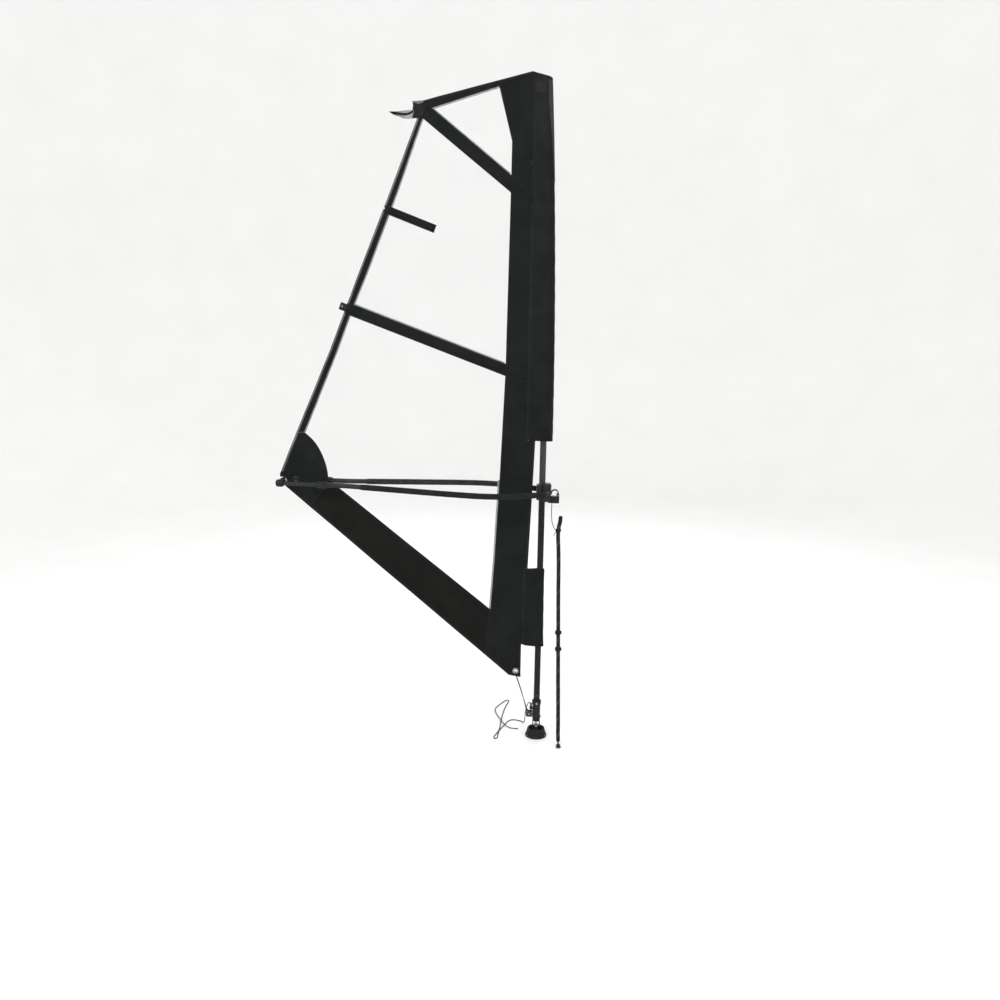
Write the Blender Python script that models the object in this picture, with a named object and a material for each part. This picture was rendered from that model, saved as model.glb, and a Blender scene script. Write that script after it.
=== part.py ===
"""Small windsurf sail rig: mast foot, mast, boom, sail and lines.

Metres, +Z up along the mast, the mast axis at X = 0, Y = 0 and the deck at Z = 0. The sail lies in
the XZ plane with its clew towards -X. Every sub-part is one named object.
"""
import math

import bmesh
import bpy
from mathutils import Matrix, Vector

# ---------------------------------------------------------------- driving dimensions
GAP = 0.0005                  # clearance between neighbouring pieces
SIDES = 20                    # facets round a turned piece

# mast foot and universal joint
PLATE_RADIUS = 0.057
PLATE_HEIGHT = 0.012
CUP_RIM_RADIUS = 0.045
CUP_RIM_HEIGHT = 0.045
JOINT_Z = 0.060               # height of both joint axes
EAR_REACH = 0.0200            # outer face of a fork's ears
EAR_THICK = 0.0050
EAR_RADIUS = 0.0080
TRUNNION_RADIUS = 0.0040
SWIVEL_RADIUS = 0.0075

# mast extension
FOOT_RADIUS = 0.0205
FOOT_BOTTOM = 0.0945
FOOT_TOP = 0.1775
EXTENSION_RADIUS = 0.0138
EXTENSION_TOP = 0.500
COLLAR_RADIUS = 0.0240
COLLAR_TOP = 0.2045
BUTTON_Z = 0.110
PIN_Z = 0.191
SHEAVE_X = -0.040
SHEAVE_Z = 0.125
SHEAVE_RADIUS = 0.0110
BRACKET_HALF = 0.0080         # outer face of the pulley cheeks

# mast
MAST_RADIUS = 0.0165
MAST_TOP_RADIUS = 0.0100
MAST_WALL = 0.0020
MAST_JOIN_Z = 1.750
MAST_TOP_Z = 3.335
MAST_BEND = 0.015             # how far the top bends towards the clew

# sail
CLOTH = 0.0020                # thickness of a cloth panel
FILM = 0.0008                 # thickness of a window
SEAM_X = -0.0777              # where the luff sleeve is sewn to the luff panel
SLEEVE_WALL = 0.0015
SLEEVE_TOP_Z = 3.350
CUTOUT_TOP_Z = 1.6025
CUTOUT_BOTTOM_Z = 0.9290
SLEEVE_BOTTOM_Z = 0.5090
POCKET_DEPTH = 0.0046
POCKET_FRONT_Y = -0.0014      # back face of a pocket, just off the sail

# boom
BOOM_Z = 1.338
BOOM_TILT = math.radians(1.5)
ARM_RADIUS = 0.0125
ARM_BORE = 0.0112
GRIP_RADIUS = 0.0145
GRIP_BORE = 0.0130
GRIP_FRONT_X = 0.012
GRIP_BACK_X = -0.930
TAIL_RADIUS = 0.0100
TAIL_BORE = 0.0085
TAIL_HALF_WIDTH = 0.078
ARM_END_X = -1.130
TAIL_END_X = -1.354

# lines
DOWNHAUL_RADIUS = 0.0022
TAIL_LINE_RADIUS = 0.0025
OUTHAUL_RADIUS = 0.0020
LANYARD_RADIUS = 0.0020
UPHAUL_RADIUS = 0.0100

# ---------------------------------------------------------------- sail outline, (x, z)
APEX = (-0.096, 3.367)
HEAD_SEAM = (SEAM_X, 3.3628)
HEAD_CORNER = (-0.256, 3.324)
HEAD_INNER = (-0.256, 3.300)
PEAK_TOP = (-0.662, 3.215)
PEAK_LOW = (-0.669, 3.150)
PEAK_LEECH = (-0.646, 3.150)
PEAK_TAPE = (-0.620, 3.150)
PEAK_INNER = (-0.600, 3.190)
LUFF_HEAD = (-0.189, 3.050)
LUFF_UPPER = (-0.190, 2.855)
LUFF_MIDDLE = (-0.2005, 1.950)
LUFF_CLEW = (-0.221, 1.397)
LUFF_LOWER = (-0.240, 0.980)
LUFF_FOOT = (-0.258, 0.692)
FOOT_LUFF = (-0.283, 0.4525)
TACK_BACK = (-0.153, 0.341)
TACK_FRONT = (-0.090, 0.331)
TACK_TOP = (-0.090, 0.5150)
LEECH_MIDDLE = (-0.9725, 2.238)
LEECH_LOW = (-1.264, 1.622)
LEECH_LOW_INNER = (-1.221, 1.627)
CLEW_TIP = (-1.345, 1.425)
CLEW_NOTCH = (-1.298, 1.406)
CLEW_FOOT = (-1.298, 1.3235)
FOOT_PATCH = (-1.200, 1.2395)
FOOT_CLEW = (-1.101, 1.371)
CLEW_CURVE = [(-1.177, 1.586), (-1.143, 1.536), (-1.121, 1.484), (-1.107, 1.433)]
TACK_EYELET = (-0.117, 0.365)
CLEW_EYELET = (-1.270, 1.383)
EYELET_RADIUS = 0.0160
EYELET_BORE = 0.0075
EYELET_BARREL = 0.0090

# ---------------------------------------------------------------- routes of the lines, (x, y, z)
UPHAUL_ROUTE = [
    (0.100, -0.004, 1.214), (0.098, -0.004, 1.185), (0.091, -0.004, 1.150), (0.0895, -0.004, 1.105),
    (0.093, -0.006, 1.040), (0.096, -0.008, 0.960), (0.099, -0.012, 0.800), (0.103, -0.018, 0.640),
    (0.106, -0.026, 0.500), (0.109, -0.040, 0.350), (0.112, -0.060, 0.210), (0.1135, -0.081, 0.110),
    (0.1135, -0.100, 0.048), (0.1135, -0.116, 0.019)]
LANYARD_ROUTE = [
    (0.052, -0.006, 1.2822), (0.0515, -0.006, 1.250), (0.0525, -0.007, 1.215), (0.056, -0.009, 1.180),
    (0.064, -0.0135, 1.158), (0.074, -0.0175, 1.143), (0.084, -0.0185, 1.134)]
TAIL_ROUTE = [
    (-0.0292, 0.0055, 0.1735), (-0.036, 0.024, 0.1770), (-0.046, 0.060, 0.1500), (-0.055, 0.095, 0.095),
    (-0.057, 0.122, 0.040), (-0.062, 0.147, 0.0075), (-0.083, 0.173, 0.0030), (-0.122, 0.186, 0.0030),
    (-0.150, 0.163, 0.0030), (-0.166, 0.125, 0.0030), (-0.184, 0.080, 0.0030), (-0.205, 0.030, 0.0030),
    (-0.222, -0.020, 0.0030), (-0.228, -0.044, 0.0030), (-0.219, -0.058, 0.0030),
    (-0.209, -0.044, 0.0030), (-0.205, -0.005, 0.0030), (-0.200, 0.038, 0.0085),
    (-0.195, 0.085, 0.0040), (-0.190, 0.150, 0.0030), (-0.183, 0.227, 0.0030),
    (-0.174, 0.300, 0.0030), (-0.160, 0.375, 0.0030), (-0.144, 0.438, 0.0030), (-0.147, 0.457, 0.0030),
    (-0.163, 0.452, 0.0030), (-0.187, 0.412, 0.0030), (-0.214, 0.358, 0.0030), (-0.223, 0.315, 0.0030),
    (-0.213, 0.255, 0.0035), (-0.194, 0.182, 0.0088), (-0.176, 0.128, 0.0080), (-0.160, 0.098, 0.0070),
    (-0.136, 0.078, 0.0030), (-0.095, 0.070, 0.0030)]
ARM_ROUTE = [
    (0.026, 0.0308), (0.026, 0.0450), (0.019, 0.0680), (-0.006, 0.093), (-0.060, 0.126), (-0.140, 0.172),
    (-0.220, 0.203), (-0.320, 0.213), (-0.450, 0.197), (-0.590, 0.168), (-0.720, 0.140),
    (-0.830, 0.115), (-0.920, 0.096), (-0.985, 0.083), (-1.030, TAIL_HALF_WIDTH),
    (ARM_END_X, TAIL_HALF_WIDTH)]

# ---------------------------------------------------------------- scene and materials
for old in list(bpy.data.objects):
    bpy.data.objects.remove(old, do_unlink=True)


def finish(name, color, roughness, metallic=0.0):
    """A Principled material."""
    mat = bpy.data.materials.new(name)
    mat.use_nodes = True
    shader = mat.node_tree.nodes["Principled BSDF"]
    shader.inputs["Base Color"].default_value = (*color, 1.0)
    shader.inputs["Roughness"].default_value = roughness
    shader.inputs["Metallic"].default_value = metallic
    return mat


SAILCLOTH = finish("sailcloth", (0.012, 0.014, 0.014), 0.55)
WINDOW = finish("window_film", (0.80, 0.84, 0.84), 0.10)
WEBBING = finish("webbing", (0.018, 0.019, 0.020), 0.80)
BATTEN = finish("batten", (0.55, 0.56, 0.50), 0.40)
PLASTIC = finish("black_plastic", (0.014, 0.014, 0.015), 0.42)
MAST_SKIN = finish("mast_tube", (0.045, 0.042, 0.052), 0.32)
ALLOY = finish("alloy", (0.50, 0.51, 0.52), 0.30, 1.0)
BOOM_SKIN = finish("boom_tube", (0.026, 0.029, 0.031), 0.38, 0.4)
STEEL = finish("stainless", (0.62, 0.62, 0.61), 0.18, 1.0)
FOAM = finish("grip_foam", (0.022, 0.025, 0.026), 0.85)
RUBBER = finish("rubber", (0.016, 0.016, 0.017), 0.75)
ROPE = finish("rope", (0.015, 0.018, 0.024), 0.85)


# ---------------------------------------------------------------- shared shapes
def add_mesh(name, bm, mat, parent=None, smooth=False):
    """Turn a bmesh into a named object."""
    bmesh.ops.recalc_face_normals(bm, faces=bm.faces)
    mesh = bpy.data.meshes.new(name)
    bm.to_mesh(mesh)
    bm.free()
    mesh.materials.append(mat)
    if smooth:
        mesh.shade_smooth()
        mesh.set_sharp_from_angle(angle=math.radians(40))
    obj = bpy.data.objects.new(name, mesh)
    bpy.context.collection.objects.link(obj)
    obj.parent = parent
    return obj


def empty(name, location, rotation=(0, 0, 0), parent=None):
    """An empty that marks a joint's axis or a local frame."""
    obj = bpy.data.objects.new(name, None)
    obj.location = location
    obj.rotation_euler = rotation
    obj.parent = parent
    bpy.context.collection.objects.link(obj)
    return obj


def inset(outline, distance):
    """Move every edge of a closed outline inwards by the same distance."""
    count = len(outline)
    area = sum(outline[i][0] * outline[(i + 1) % count][1] - outline[(i + 1) % count][0] * outline[i][1]
               for i in range(count))
    side = 1.0 if area > 0 else -1.0
    moved = []
    for i in range(count):
        here = Vector(outline[i])
        before = (here - Vector(outline[i - 1])).normalized()
        after = (Vector(outline[(i + 1) % count]) - here).normalized()
        normal_before = Vector((-before.y, before.x)) * side
        normal_after = Vector((-after.y, after.x)) * side
        bisector = (normal_before + normal_after).normalized()
        moved.append(tuple(here + bisector * distance / bisector.dot(normal_after)))
    return moved


def sheet(name, outline, y_low, y_high, mat, margin=GAP / 2, parent=None):
    """A flat closed sheet: an outline in XZ with a thickness along Y."""
    bm = bmesh.new()
    face = bm.faces.new([bm.verts.new((x, y_low, z)) for x, z in inset(outline, margin)])
    grown = bmesh.ops.extrude_face_region(bm, geom=[face])
    moved = [v for v in grown["geom"] if isinstance(v, bmesh.types.BMVert)]
    bmesh.ops.translate(bm, verts=moved, vec=(0, y_high - y_low, 0))
    return add_mesh(name, bm, mat, parent)


def turned_mesh(profile, closed, sides=SIDES, axis="Z"):
    """Turn a profile of (radius, height) round an axis. A closed profile makes a ring."""
    bm = bmesh.new()
    rings = []
    for radius, height in profile:
        if radius == 0.0:
            rings.append([bm.verts.new((0, 0, height))])
            continue
        rings.append([bm.verts.new((radius * math.cos(math.tau * k / sides),
                                    radius * math.sin(math.tau * k / sides), height))
                      for k in range(sides)])
    pairs = list(zip(rings, rings[1:]))
    if closed:
        pairs.append((rings[-1], rings[0]))
    for low, high in pairs:
        for k in range(sides):
            corners = [low[k % len(low)], low[(k + 1) % len(low)],
                       high[(k + 1) % len(high)], high[k % len(high)]]
            unique = list(dict.fromkeys(corners))
            if len(unique) > 2:
                bm.faces.new(unique)
    turn = {"X": Matrix.Rotation(math.pi / 2, 3, "Y"), "Y": Matrix.Rotation(-math.pi / 2, 3, "X")}
    if axis in turn:
        bmesh.ops.rotate(bm, verts=bm.verts, cent=(0, 0, 0), matrix=turn[axis])
    return bm


def turned(name, profile, mat, location=(0, 0, 0), axis="Z", closed=True, sides=SIDES, parent=None):
    """A turned piece placed on its own axis."""
    obj = add_mesh(name, turned_mesh(profile, closed, sides, axis), mat, parent, smooth=True)
    obj.location = location
    return obj


def ring_profile(inner, outer, low, high):
    """The profile of a plain tube or ring."""
    return [(inner, low), (outer, low), (outer, high), (inner, high)]


def block_mesh(low, high, bevel=0.0, segments=2):
    """A box between two corners with rounded edges."""
    bm = bmesh.new()
    bmesh.ops.create_cube(bm, size=1.0)
    size = Vector(high) - Vector(low)
    bmesh.ops.scale(bm, verts=bm.verts, vec=size)
    bmesh.ops.translate(bm, verts=bm.verts, vec=(Vector(high) + Vector(low)) / 2)
    if bevel:
        bmesh.ops.bevel(bm, geom=list(bm.edges), offset=bevel, segments=segments, profile=0.5,
                        affect="EDGES", clamp_overlap=True)
    return bm


def block(name, low, high, mat, bevel=0.0, parent=None, segments=2):
    """A named box with rounded edges."""
    return add_mesh(name, block_mesh(low, high, bevel, segments), mat, parent)


def cut(obj, bm, operation="DIFFERENCE"):
    """Cut a shape from an object, or join it on, with a Boolean."""
    tool = add_mesh(f"{obj.name}_tool_{len(obj.modifiers)}", bm, PLASTIC, obj.parent)
    tool.location = obj.location
    tool.hide_render = True
    tool.display_type = "WIRE"
    modifier = obj.modifiers.new(f"cut_{len(obj.modifiers)}", "BOOLEAN")
    modifier.operation = operation
    modifier.solver = "EXACT"
    modifier.object = tool
    return obj


def rod_mesh(radius, low, high, axis, offset=(0, 0, 0), sides=SIDES):
    """A solid cylinder along an axis."""
    bm = turned_mesh([(0.0, low), (radius, low), (radius, high), (0.0, high)], False, sides, axis)
    bmesh.ops.translate(bm, verts=bm.verts, vec=offset)
    return bm


def smooth_route(points, spacing, limit=80):
    """Points at an even spacing on one smooth curve through the given points."""
    route = [Vector(p) for p in points]
    padded = [route[0] * 2 - route[1]] + route + [route[-1] * 2 - route[-2]]
    fine = []
    steps = 40
    for i in range(len(route) - 1):
        a, b, c, d = padded[i:i + 4]
        for k in range(steps):
            t = k / steps
            fine.append(0.5 * (2 * b + (c - a) * t + (2 * a - 5 * b + 4 * c - d) * t ** 2
                               + (3 * b - a - 3 * c + d) * t ** 3))
    fine.append(route[-1])
    total = sum((q - p).length for p, q in zip(fine, fine[1:]))
    count = max(2, min(limit - 1, round(total / spacing)))
    picked = [fine[0]]
    walked = 0.0
    for p, q in zip(fine, fine[1:]):
        step = (q - p).length
        while len(picked) < count and walked + step >= total * len(picked) / count:
            share = (total * len(picked) / count - walked) / step
            picked.append(p.lerp(q, share))
        walked += step
    picked.append(fine[-1])
    return picked


def cord(name, points, radius, spacing, resolution=2):
    """A round line along one smooth curve, with closed ends."""
    curve = bpy.data.curves.new(name, "CURVE")
    curve.dimensions = "3D"
    curve.bevel_depth = radius
    curve.bevel_resolution = resolution
    curve.use_fill_caps = True
    spline = curve.splines.new("POLY")
    route = smooth_route(points, spacing)
    spline.points.add(len(route) - 1)
    for point, place in zip(spline.points, route):
        point.co = (*place, 1.0)
    curve.materials.append(ROPE)
    obj = bpy.data.objects.new(name, curve)
    bpy.context.collection.objects.link(obj)
    return obj


def swept_tube(name, route, span, outer, inner, mat, parent, sides=10):
    """A hollow tube along one span of a route that lies in a level plane."""
    bm = bmesh.new()
    rings = []
    for i in range(*span):
        here = route[i]
        along = (route[min(i + 1, len(route) - 1)] - route[max(i - 1, 0)]).normalized()
        across = Vector((-along.y, along.x, 0.0))
        pair = []
        for radius in (outer, inner):
            pair.append([bm.verts.new(here + across * radius * math.cos(math.tau * k / sides)
                                      + Vector((0, 0, 1)) * radius * math.sin(math.tau * k / sides))
                         for k in range(sides)])
        rings.append(pair)
    for (low_out, low_in), (high_out, high_in) in zip(rings, rings[1:]):
        for k in range(sides):
            n = (k + 1) % sides
            bm.faces.new((low_out[k], low_out[n], high_out[n], high_out[k]))
            bm.faces.new((low_in[n], low_in[k], high_in[k], high_in[n]))
    for out_ring, in_ring in (rings[0], rings[-1]):
        for k in range(sides):
            n = (k + 1) % sides
            bm.faces.new((out_ring[k], out_ring[n], in_ring[n], in_ring[k]))
    return add_mesh(name, bm, mat, parent, smooth=True)


# ---------------------------------------------------------------- mast foot and joint
def fork(name, mat, ears_along, ears_up, base_low, base_high, parent):
    """A fork whose two ears hold one pair of trunnions at the joint's centre."""
    bevel = 0.0012
    half_ear = EAR_RADIUS
    inner = EAR_REACH - EAR_THICK
    if ears_up:
        low, high = base_high - 0.001, EAR_RADIUS
    else:
        low, high = -EAR_RADIUS, base_low + 0.001
    wide = Vector((EAR_REACH, half_ear + 0.002, 0)) if ears_along == "X" \
        else Vector((half_ear + 0.002, EAR_REACH, 0))
    obj = block(name, (-wide.x, -wide.y, base_low), (wide.x, wide.y, base_high), mat, bevel, parent)
    for side in (-1, 1):
        near, far = sorted((side * inner, side * EAR_REACH))
        if ears_along == "X":
            ear = block_mesh((near, -half_ear, low), (far, half_ear, high), bevel)
            bore = rod_mesh(TRUNNION_RADIUS + GAP, near - 0.002, far + 0.002, "X")
        else:
            ear = block_mesh((-half_ear, near, low), (half_ear, far, high), bevel)
            bore = rod_mesh(TRUNNION_RADIUS + GAP, near - 0.002, far + 0.002, "Y")
        cut(obj, ear, "UNION")
        cut(obj, bore)
    return obj


def make_base(joint):
    """Plate, rubber cup and lower fork, which tilt together under the mast."""
    drop = -JOINT_Z
    turned("base_plate", [(0.0, drop), (PLATE_RADIUS - 0.002, drop), (PLATE_RADIUS, drop + 0.003),
                          (PLATE_RADIUS, drop + PLATE_HEIGHT - 0.003),
                          (PLATE_RADIUS - 0.003, drop + PLATE_HEIGHT), (0.0, drop + PLATE_HEIGHT)],
           PLASTIC, closed=False, sides=24, parent=joint)
    foot = drop + PLATE_HEIGHT + GAP
    rim = drop + CUP_RIM_HEIGHT
    turned("joint_cup", [(0.0240, foot), (PLATE_RADIUS - 0.004, foot), (PLATE_RADIUS - 0.006, foot + 0.010),
                         (CUP_RIM_RADIUS + 0.001, rim - 0.006), (CUP_RIM_RADIUS - 0.002, rim),
                         (CUP_RIM_RADIUS - 0.006, rim - 0.001), (CUP_RIM_RADIUS - 0.012, foot + 0.012),
                         (0.0240, foot + 0.004)],
           RUBBER, sides=24, parent=joint)
    fork("lower_fork", PLASTIC, "Y", True, foot, -0.0245, joint)


def make_cross(joint):
    """The joint's centre block with its four trunnions."""
    half = 0.0095
    cross = block("joint_cross", (-half, -half, -half), (half, half, half), STEEL, 0.0015, joint)
    reach = EAR_REACH - 0.0003
    for axis in ("X", "Y"):
        cut(cross, rod_mesh(TRUNNION_RADIUS, -reach, reach, axis), "UNION")


def make_swivel(joint):
    """Upper fork and the pin that turns in the extension's foot."""
    top = 0.0325
    fork("upper_fork", PLASTIC, "X", False, 0.0245, top, joint)
    low = top + GAP
    turned("swivel_pin", [(0.0, low), (0.0115, low), (0.0115, low + 0.0012), (SWIVEL_RADIUS, low + 0.0012),
                          (SWIVEL_RADIUS, low + 0.026), (SWIVEL_RADIUS - 0.0015, low + 0.028),
                          (SWIVEL_RADIUS - 0.0015, low + 0.034), (SWIVEL_RADIUS, low + 0.036),
                          (SWIVEL_RADIUS, low + 0.042), (SWIVEL_RADIUS - 0.002, low + 0.045),
                          (0.0, low + 0.045)],
           STEEL, closed=False, parent=joint)


# ---------------------------------------------------------------- mast extension
def make_extension():
    """Foot with its bores, extension tube and height collar."""
    tube_seat = FOOT_TOP - 0.012
    foot = turned("extension_foot", [(0.0, FOOT_BOTTOM), (FOOT_RADIUS - 0.002, FOOT_BOTTOM),
                                     (FOOT_RADIUS, FOOT_BOTTOM + 0.002), (FOOT_RADIUS, FOOT_TOP - 0.002),
                                     (FOOT_RADIUS - 0.002, FOOT_TOP), (0.0, FOOT_TOP)],
                  PLASTIC, closed=False, sides=24)
    cut(foot, rod_mesh(SWIVEL_RADIUS + GAP, FOOT_BOTTOM - 0.005, 0.1420, "Z"))
    cut(foot, rod_mesh(0.0125, FOOT_BOTTOM - 0.005, FOOT_BOTTOM + 0.0005, "Z"))
    cut(foot, rod_mesh(EXTENSION_RADIUS + GAP, tube_seat - 0.0005, FOOT_TOP + 0.005, "Z"))
    cut(foot, rod_mesh(0.0065, 0.004, FOOT_RADIUS + 0.005, "X", (0, 0, BUTTON_Z)))
    turned("extension_tube", ring_profile(EXTENSION_RADIUS - 0.002, EXTENSION_RADIUS, tube_seat,
                                          EXTENSION_TOP), ALLOY)
    low = FOOT_TOP + GAP
    collar = turned("height_collar", [(EXTENSION_RADIUS + GAP, low), (FOOT_RADIUS, low),
                                      (COLLAR_RADIUS, low + 0.004), (COLLAR_RADIUS, COLLAR_TOP - 0.002),
                                      (COLLAR_RADIUS - 0.002, COLLAR_TOP), (EXTENSION_RADIUS + GAP, COLLAR_TOP)],
                    PLASTIC, sides=24)
    cut(collar, rod_mesh(0.0026, -COLLAR_RADIUS - 0.01, -0.010, "Y", (0, 0, PIN_Z), 12))


def make_release_button():
    """The spring button that lets the swivel pin out."""
    pivot = empty("release_button_slide", (0, 0, BUTTON_Z))
    turned("release_button", [(0.0, 0.0125), (0.0060, 0.0125), (0.0060, 0.0245), (0.0050, 0.0258),
                              (0.0, 0.0258)], STEEL, axis="X", closed=False, parent=pivot)


def make_collar_pin():
    """The pull pin that sets the collar's height."""
    pivot = empty("collar_pin_slide", (0, 0, PIN_Z))
    turned("collar_pin", [(0.0, -0.0330), (0.0050, -0.0330), (0.0060, -0.0315), (0.0060, -0.0275),
                          (0.0050, -0.0260), (0.0020, -0.0255), (0.0020, -0.0150), (0.0, -0.0150)],
           STEEL, axis="Y", closed=False, parent=pivot, sides=16)


def make_downhaul_gear():
    """Bracket, sheave, axle and jam cleat on the clew side of the foot."""
    back, front = -FOOT_RADIUS - 0.0007, -0.0560
    cheek = 0.0018
    inner = BRACKET_HALF - cheek
    bracket = block("pulley_bracket", (front, -BRACKET_HALF, 0.1080), (back, BRACKET_HALF, 0.1420), ALLOY,
                    0.0012)
    cut(bracket, block_mesh((front - 0.01, -inner, 0.1000), (back - 0.0025, inner, 0.1500)))
    cut(bracket, rod_mesh(0.0027, -0.02, 0.02, "Y", (SHEAVE_X, 0, SHEAVE_Z), 16))
    reach = BRACKET_HALF + 0.0003
    turned("sheave_axle", [(0.0, -reach - 0.0015), (0.0045, -reach - 0.0015), (0.0045, -reach),
                           (0.0024, -reach), (0.0024, reach), (0.0045, reach), (0.0045, reach + 0.0015),
                           (0.0, reach + 0.0015)],
           STEEL, (SHEAVE_X, 0, SHEAVE_Z), "Y", False, 16)
    half = 0.0056
    turned("downhaul_sheave", [(0.0028, -half), (0.0085, -half), (SHEAVE_RADIUS, -half + 0.0005),
                               (SHEAVE_RADIUS, -half + 0.0016), (0.0075, -0.0020), (0.0075, 0.0020),
                               (SHEAVE_RADIUS, half - 0.0016), (SHEAVE_RADIUS, half - 0.0005),
                               (0.0085, half), (0.0028, half)],
           PLASTIC, (SHEAVE_X, 0, SHEAVE_Z), "Y")
    cleat = block("jam_cleat", (-0.0370, -0.0095, 0.1500), (back, 0.0095, 0.1660), PLASTIC, 0.0015)
    cut(cleat, block_mesh((-0.0450, -0.0030, 0.1450), (-0.0255, 0.0030, 0.1700)))


# ---------------------------------------------------------------- mast
def mast_radius(z):
    """Outside radius of the mast at a height."""
    share = max(0.0, (z - MAST_JOIN_Z) / (MAST_TOP_Z - MAST_JOIN_Z))
    return MAST_RADIUS + (MAST_TOP_RADIUS - MAST_RADIUS) * share


def mast_x(z):
    """How far the bent mast stands from its straight lower part at a height."""
    share = max(0.0, (z - MAST_JOIN_Z) / (MAST_TOP_Z - MAST_JOIN_Z))
    return -MAST_BEND * share ** 2


def make_mast():
    """Lower tube, bent and tapered upper tube, ferrule and top plug."""
    turned("mast_lower", ring_profile(MAST_RADIUS - MAST_WALL, MAST_RADIUS, COLLAR_TOP + GAP, MAST_JOIN_Z),
           MAST_SKIN)
    turned("mast_ferrule", [(0.0, 1.650), (0.0130, 1.650), (0.0135, 1.652), (0.0135, 1.838),
                            (0.0130, 1.840), (0.0, 1.840)], ALLOY, closed=False)
    stations = [MAST_JOIN_Z + GAP + (MAST_TOP_Z - MAST_JOIN_Z - GAP) * k / 6 for k in range(7)]
    profile = [(mast_radius(z), z) for z in stations]
    profile += [(mast_radius(z) - MAST_WALL, z) for z in reversed(stations)]
    bm = turned_mesh(profile, True)
    for vert in bm.verts:
        vert.co.x += mast_x(vert.co.z)
    add_mesh("mast_upper", bm, MAST_SKIN, smooth=True)
    bore = MAST_TOP_RADIUS - MAST_WALL
    turned("mast_plug", [(0.0, MAST_TOP_Z - 0.020), (bore - GAP, MAST_TOP_Z - 0.020), (bore - GAP, MAST_TOP_Z + GAP),
                         (MAST_TOP_RADIUS, MAST_TOP_Z + GAP), (MAST_TOP_RADIUS, MAST_TOP_Z + 0.004),
                         (MAST_TOP_RADIUS - 0.003, MAST_TOP_Z + 0.007), (0.0, MAST_TOP_Z + 0.007)],
           PLASTIC, (mast_x(MAST_TOP_Z), 0, 0), closed=False)


# ---------------------------------------------------------------- sail
def sleeve_ring(front, radius, z, wall):
    """Section of the luff sleeve: a round front that tapers to the seam."""
    centre = front - radius
    seam = SEAM_X + GAP + wall
    radius -= wall
    length = centre - seam
    tangent = math.acos(radius / length)
    start = math.pi - tangent
    ring = []
    steps = 8
    for k in range(steps + 1):
        angle = -start + 2 * start * k / steps
        ring.append((centre + radius * math.cos(angle), radius * math.sin(angle), z))
    tip = 0.0010
    ring.append((seam, tip, z))
    ring.append((seam, -tip, z))
    return ring


def make_sleeve(name, stations):
    """A luff sleeve open at both ends, from (height, front, radius) stations."""
    bm = bmesh.new()
    shells = []
    for wall in (0.0, SLEEVE_WALL):
        shells.append([[bm.verts.new(p) for p in sleeve_ring(front, radius, z, wall)]
                       for z, front, radius in stations])
    outer, inner = shells
    count = len(outer[0])
    for shell in shells:
        for low, high in zip(shell, shell[1:]):
            for k in range(count):
                n = (k + 1) % count
                bm.faces.new((low[k], low[n], high[n], high[k]))
    for end in (0, -1):
        for k in range(count):
            n = (k + 1) % count
            bm.faces.new((outer[end][k], outer[end][n], inner[end][n], inner[end][k]))
    return add_mesh(name, bm, SAILCLOTH, smooth=True)


def upper_sleeve_stations():
    """The sleeve's front edge follows the bent mast and closes in on it towards the head."""
    stations = []
    for k in range(8):
        z = CUTOUT_TOP_Z + (SLEEVE_TOP_Z - CUTOUT_TOP_Z) * k / 7
        share = (z - CUTOUT_TOP_Z) / (SLEEVE_TOP_Z - CUTOUT_TOP_Z)
        stations.append((z, 0.0475 - 0.0485 * share ** 2, 0.0262 - 0.0092 * share))
    return stations


def eyelet(name, place):
    """A pressed ring through the cloth, with a flange on each side."""
    face = CLOTH / 2 + GAP
    turned(name, [(EYELET_BORE, -0.0030), (0.0110, -0.0036), (EYELET_RADIUS, -0.0026),
                  (EYELET_RADIUS, -face), (EYELET_BARREL, -face), (EYELET_BARREL, face),
                  (EYELET_RADIUS, face), (EYELET_RADIUS, 0.0026), (0.0110, 0.0036), (EYELET_BORE, 0.0030)],
           STEEL, (place[0], 0, place[1]), "Y", sides=16)


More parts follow.
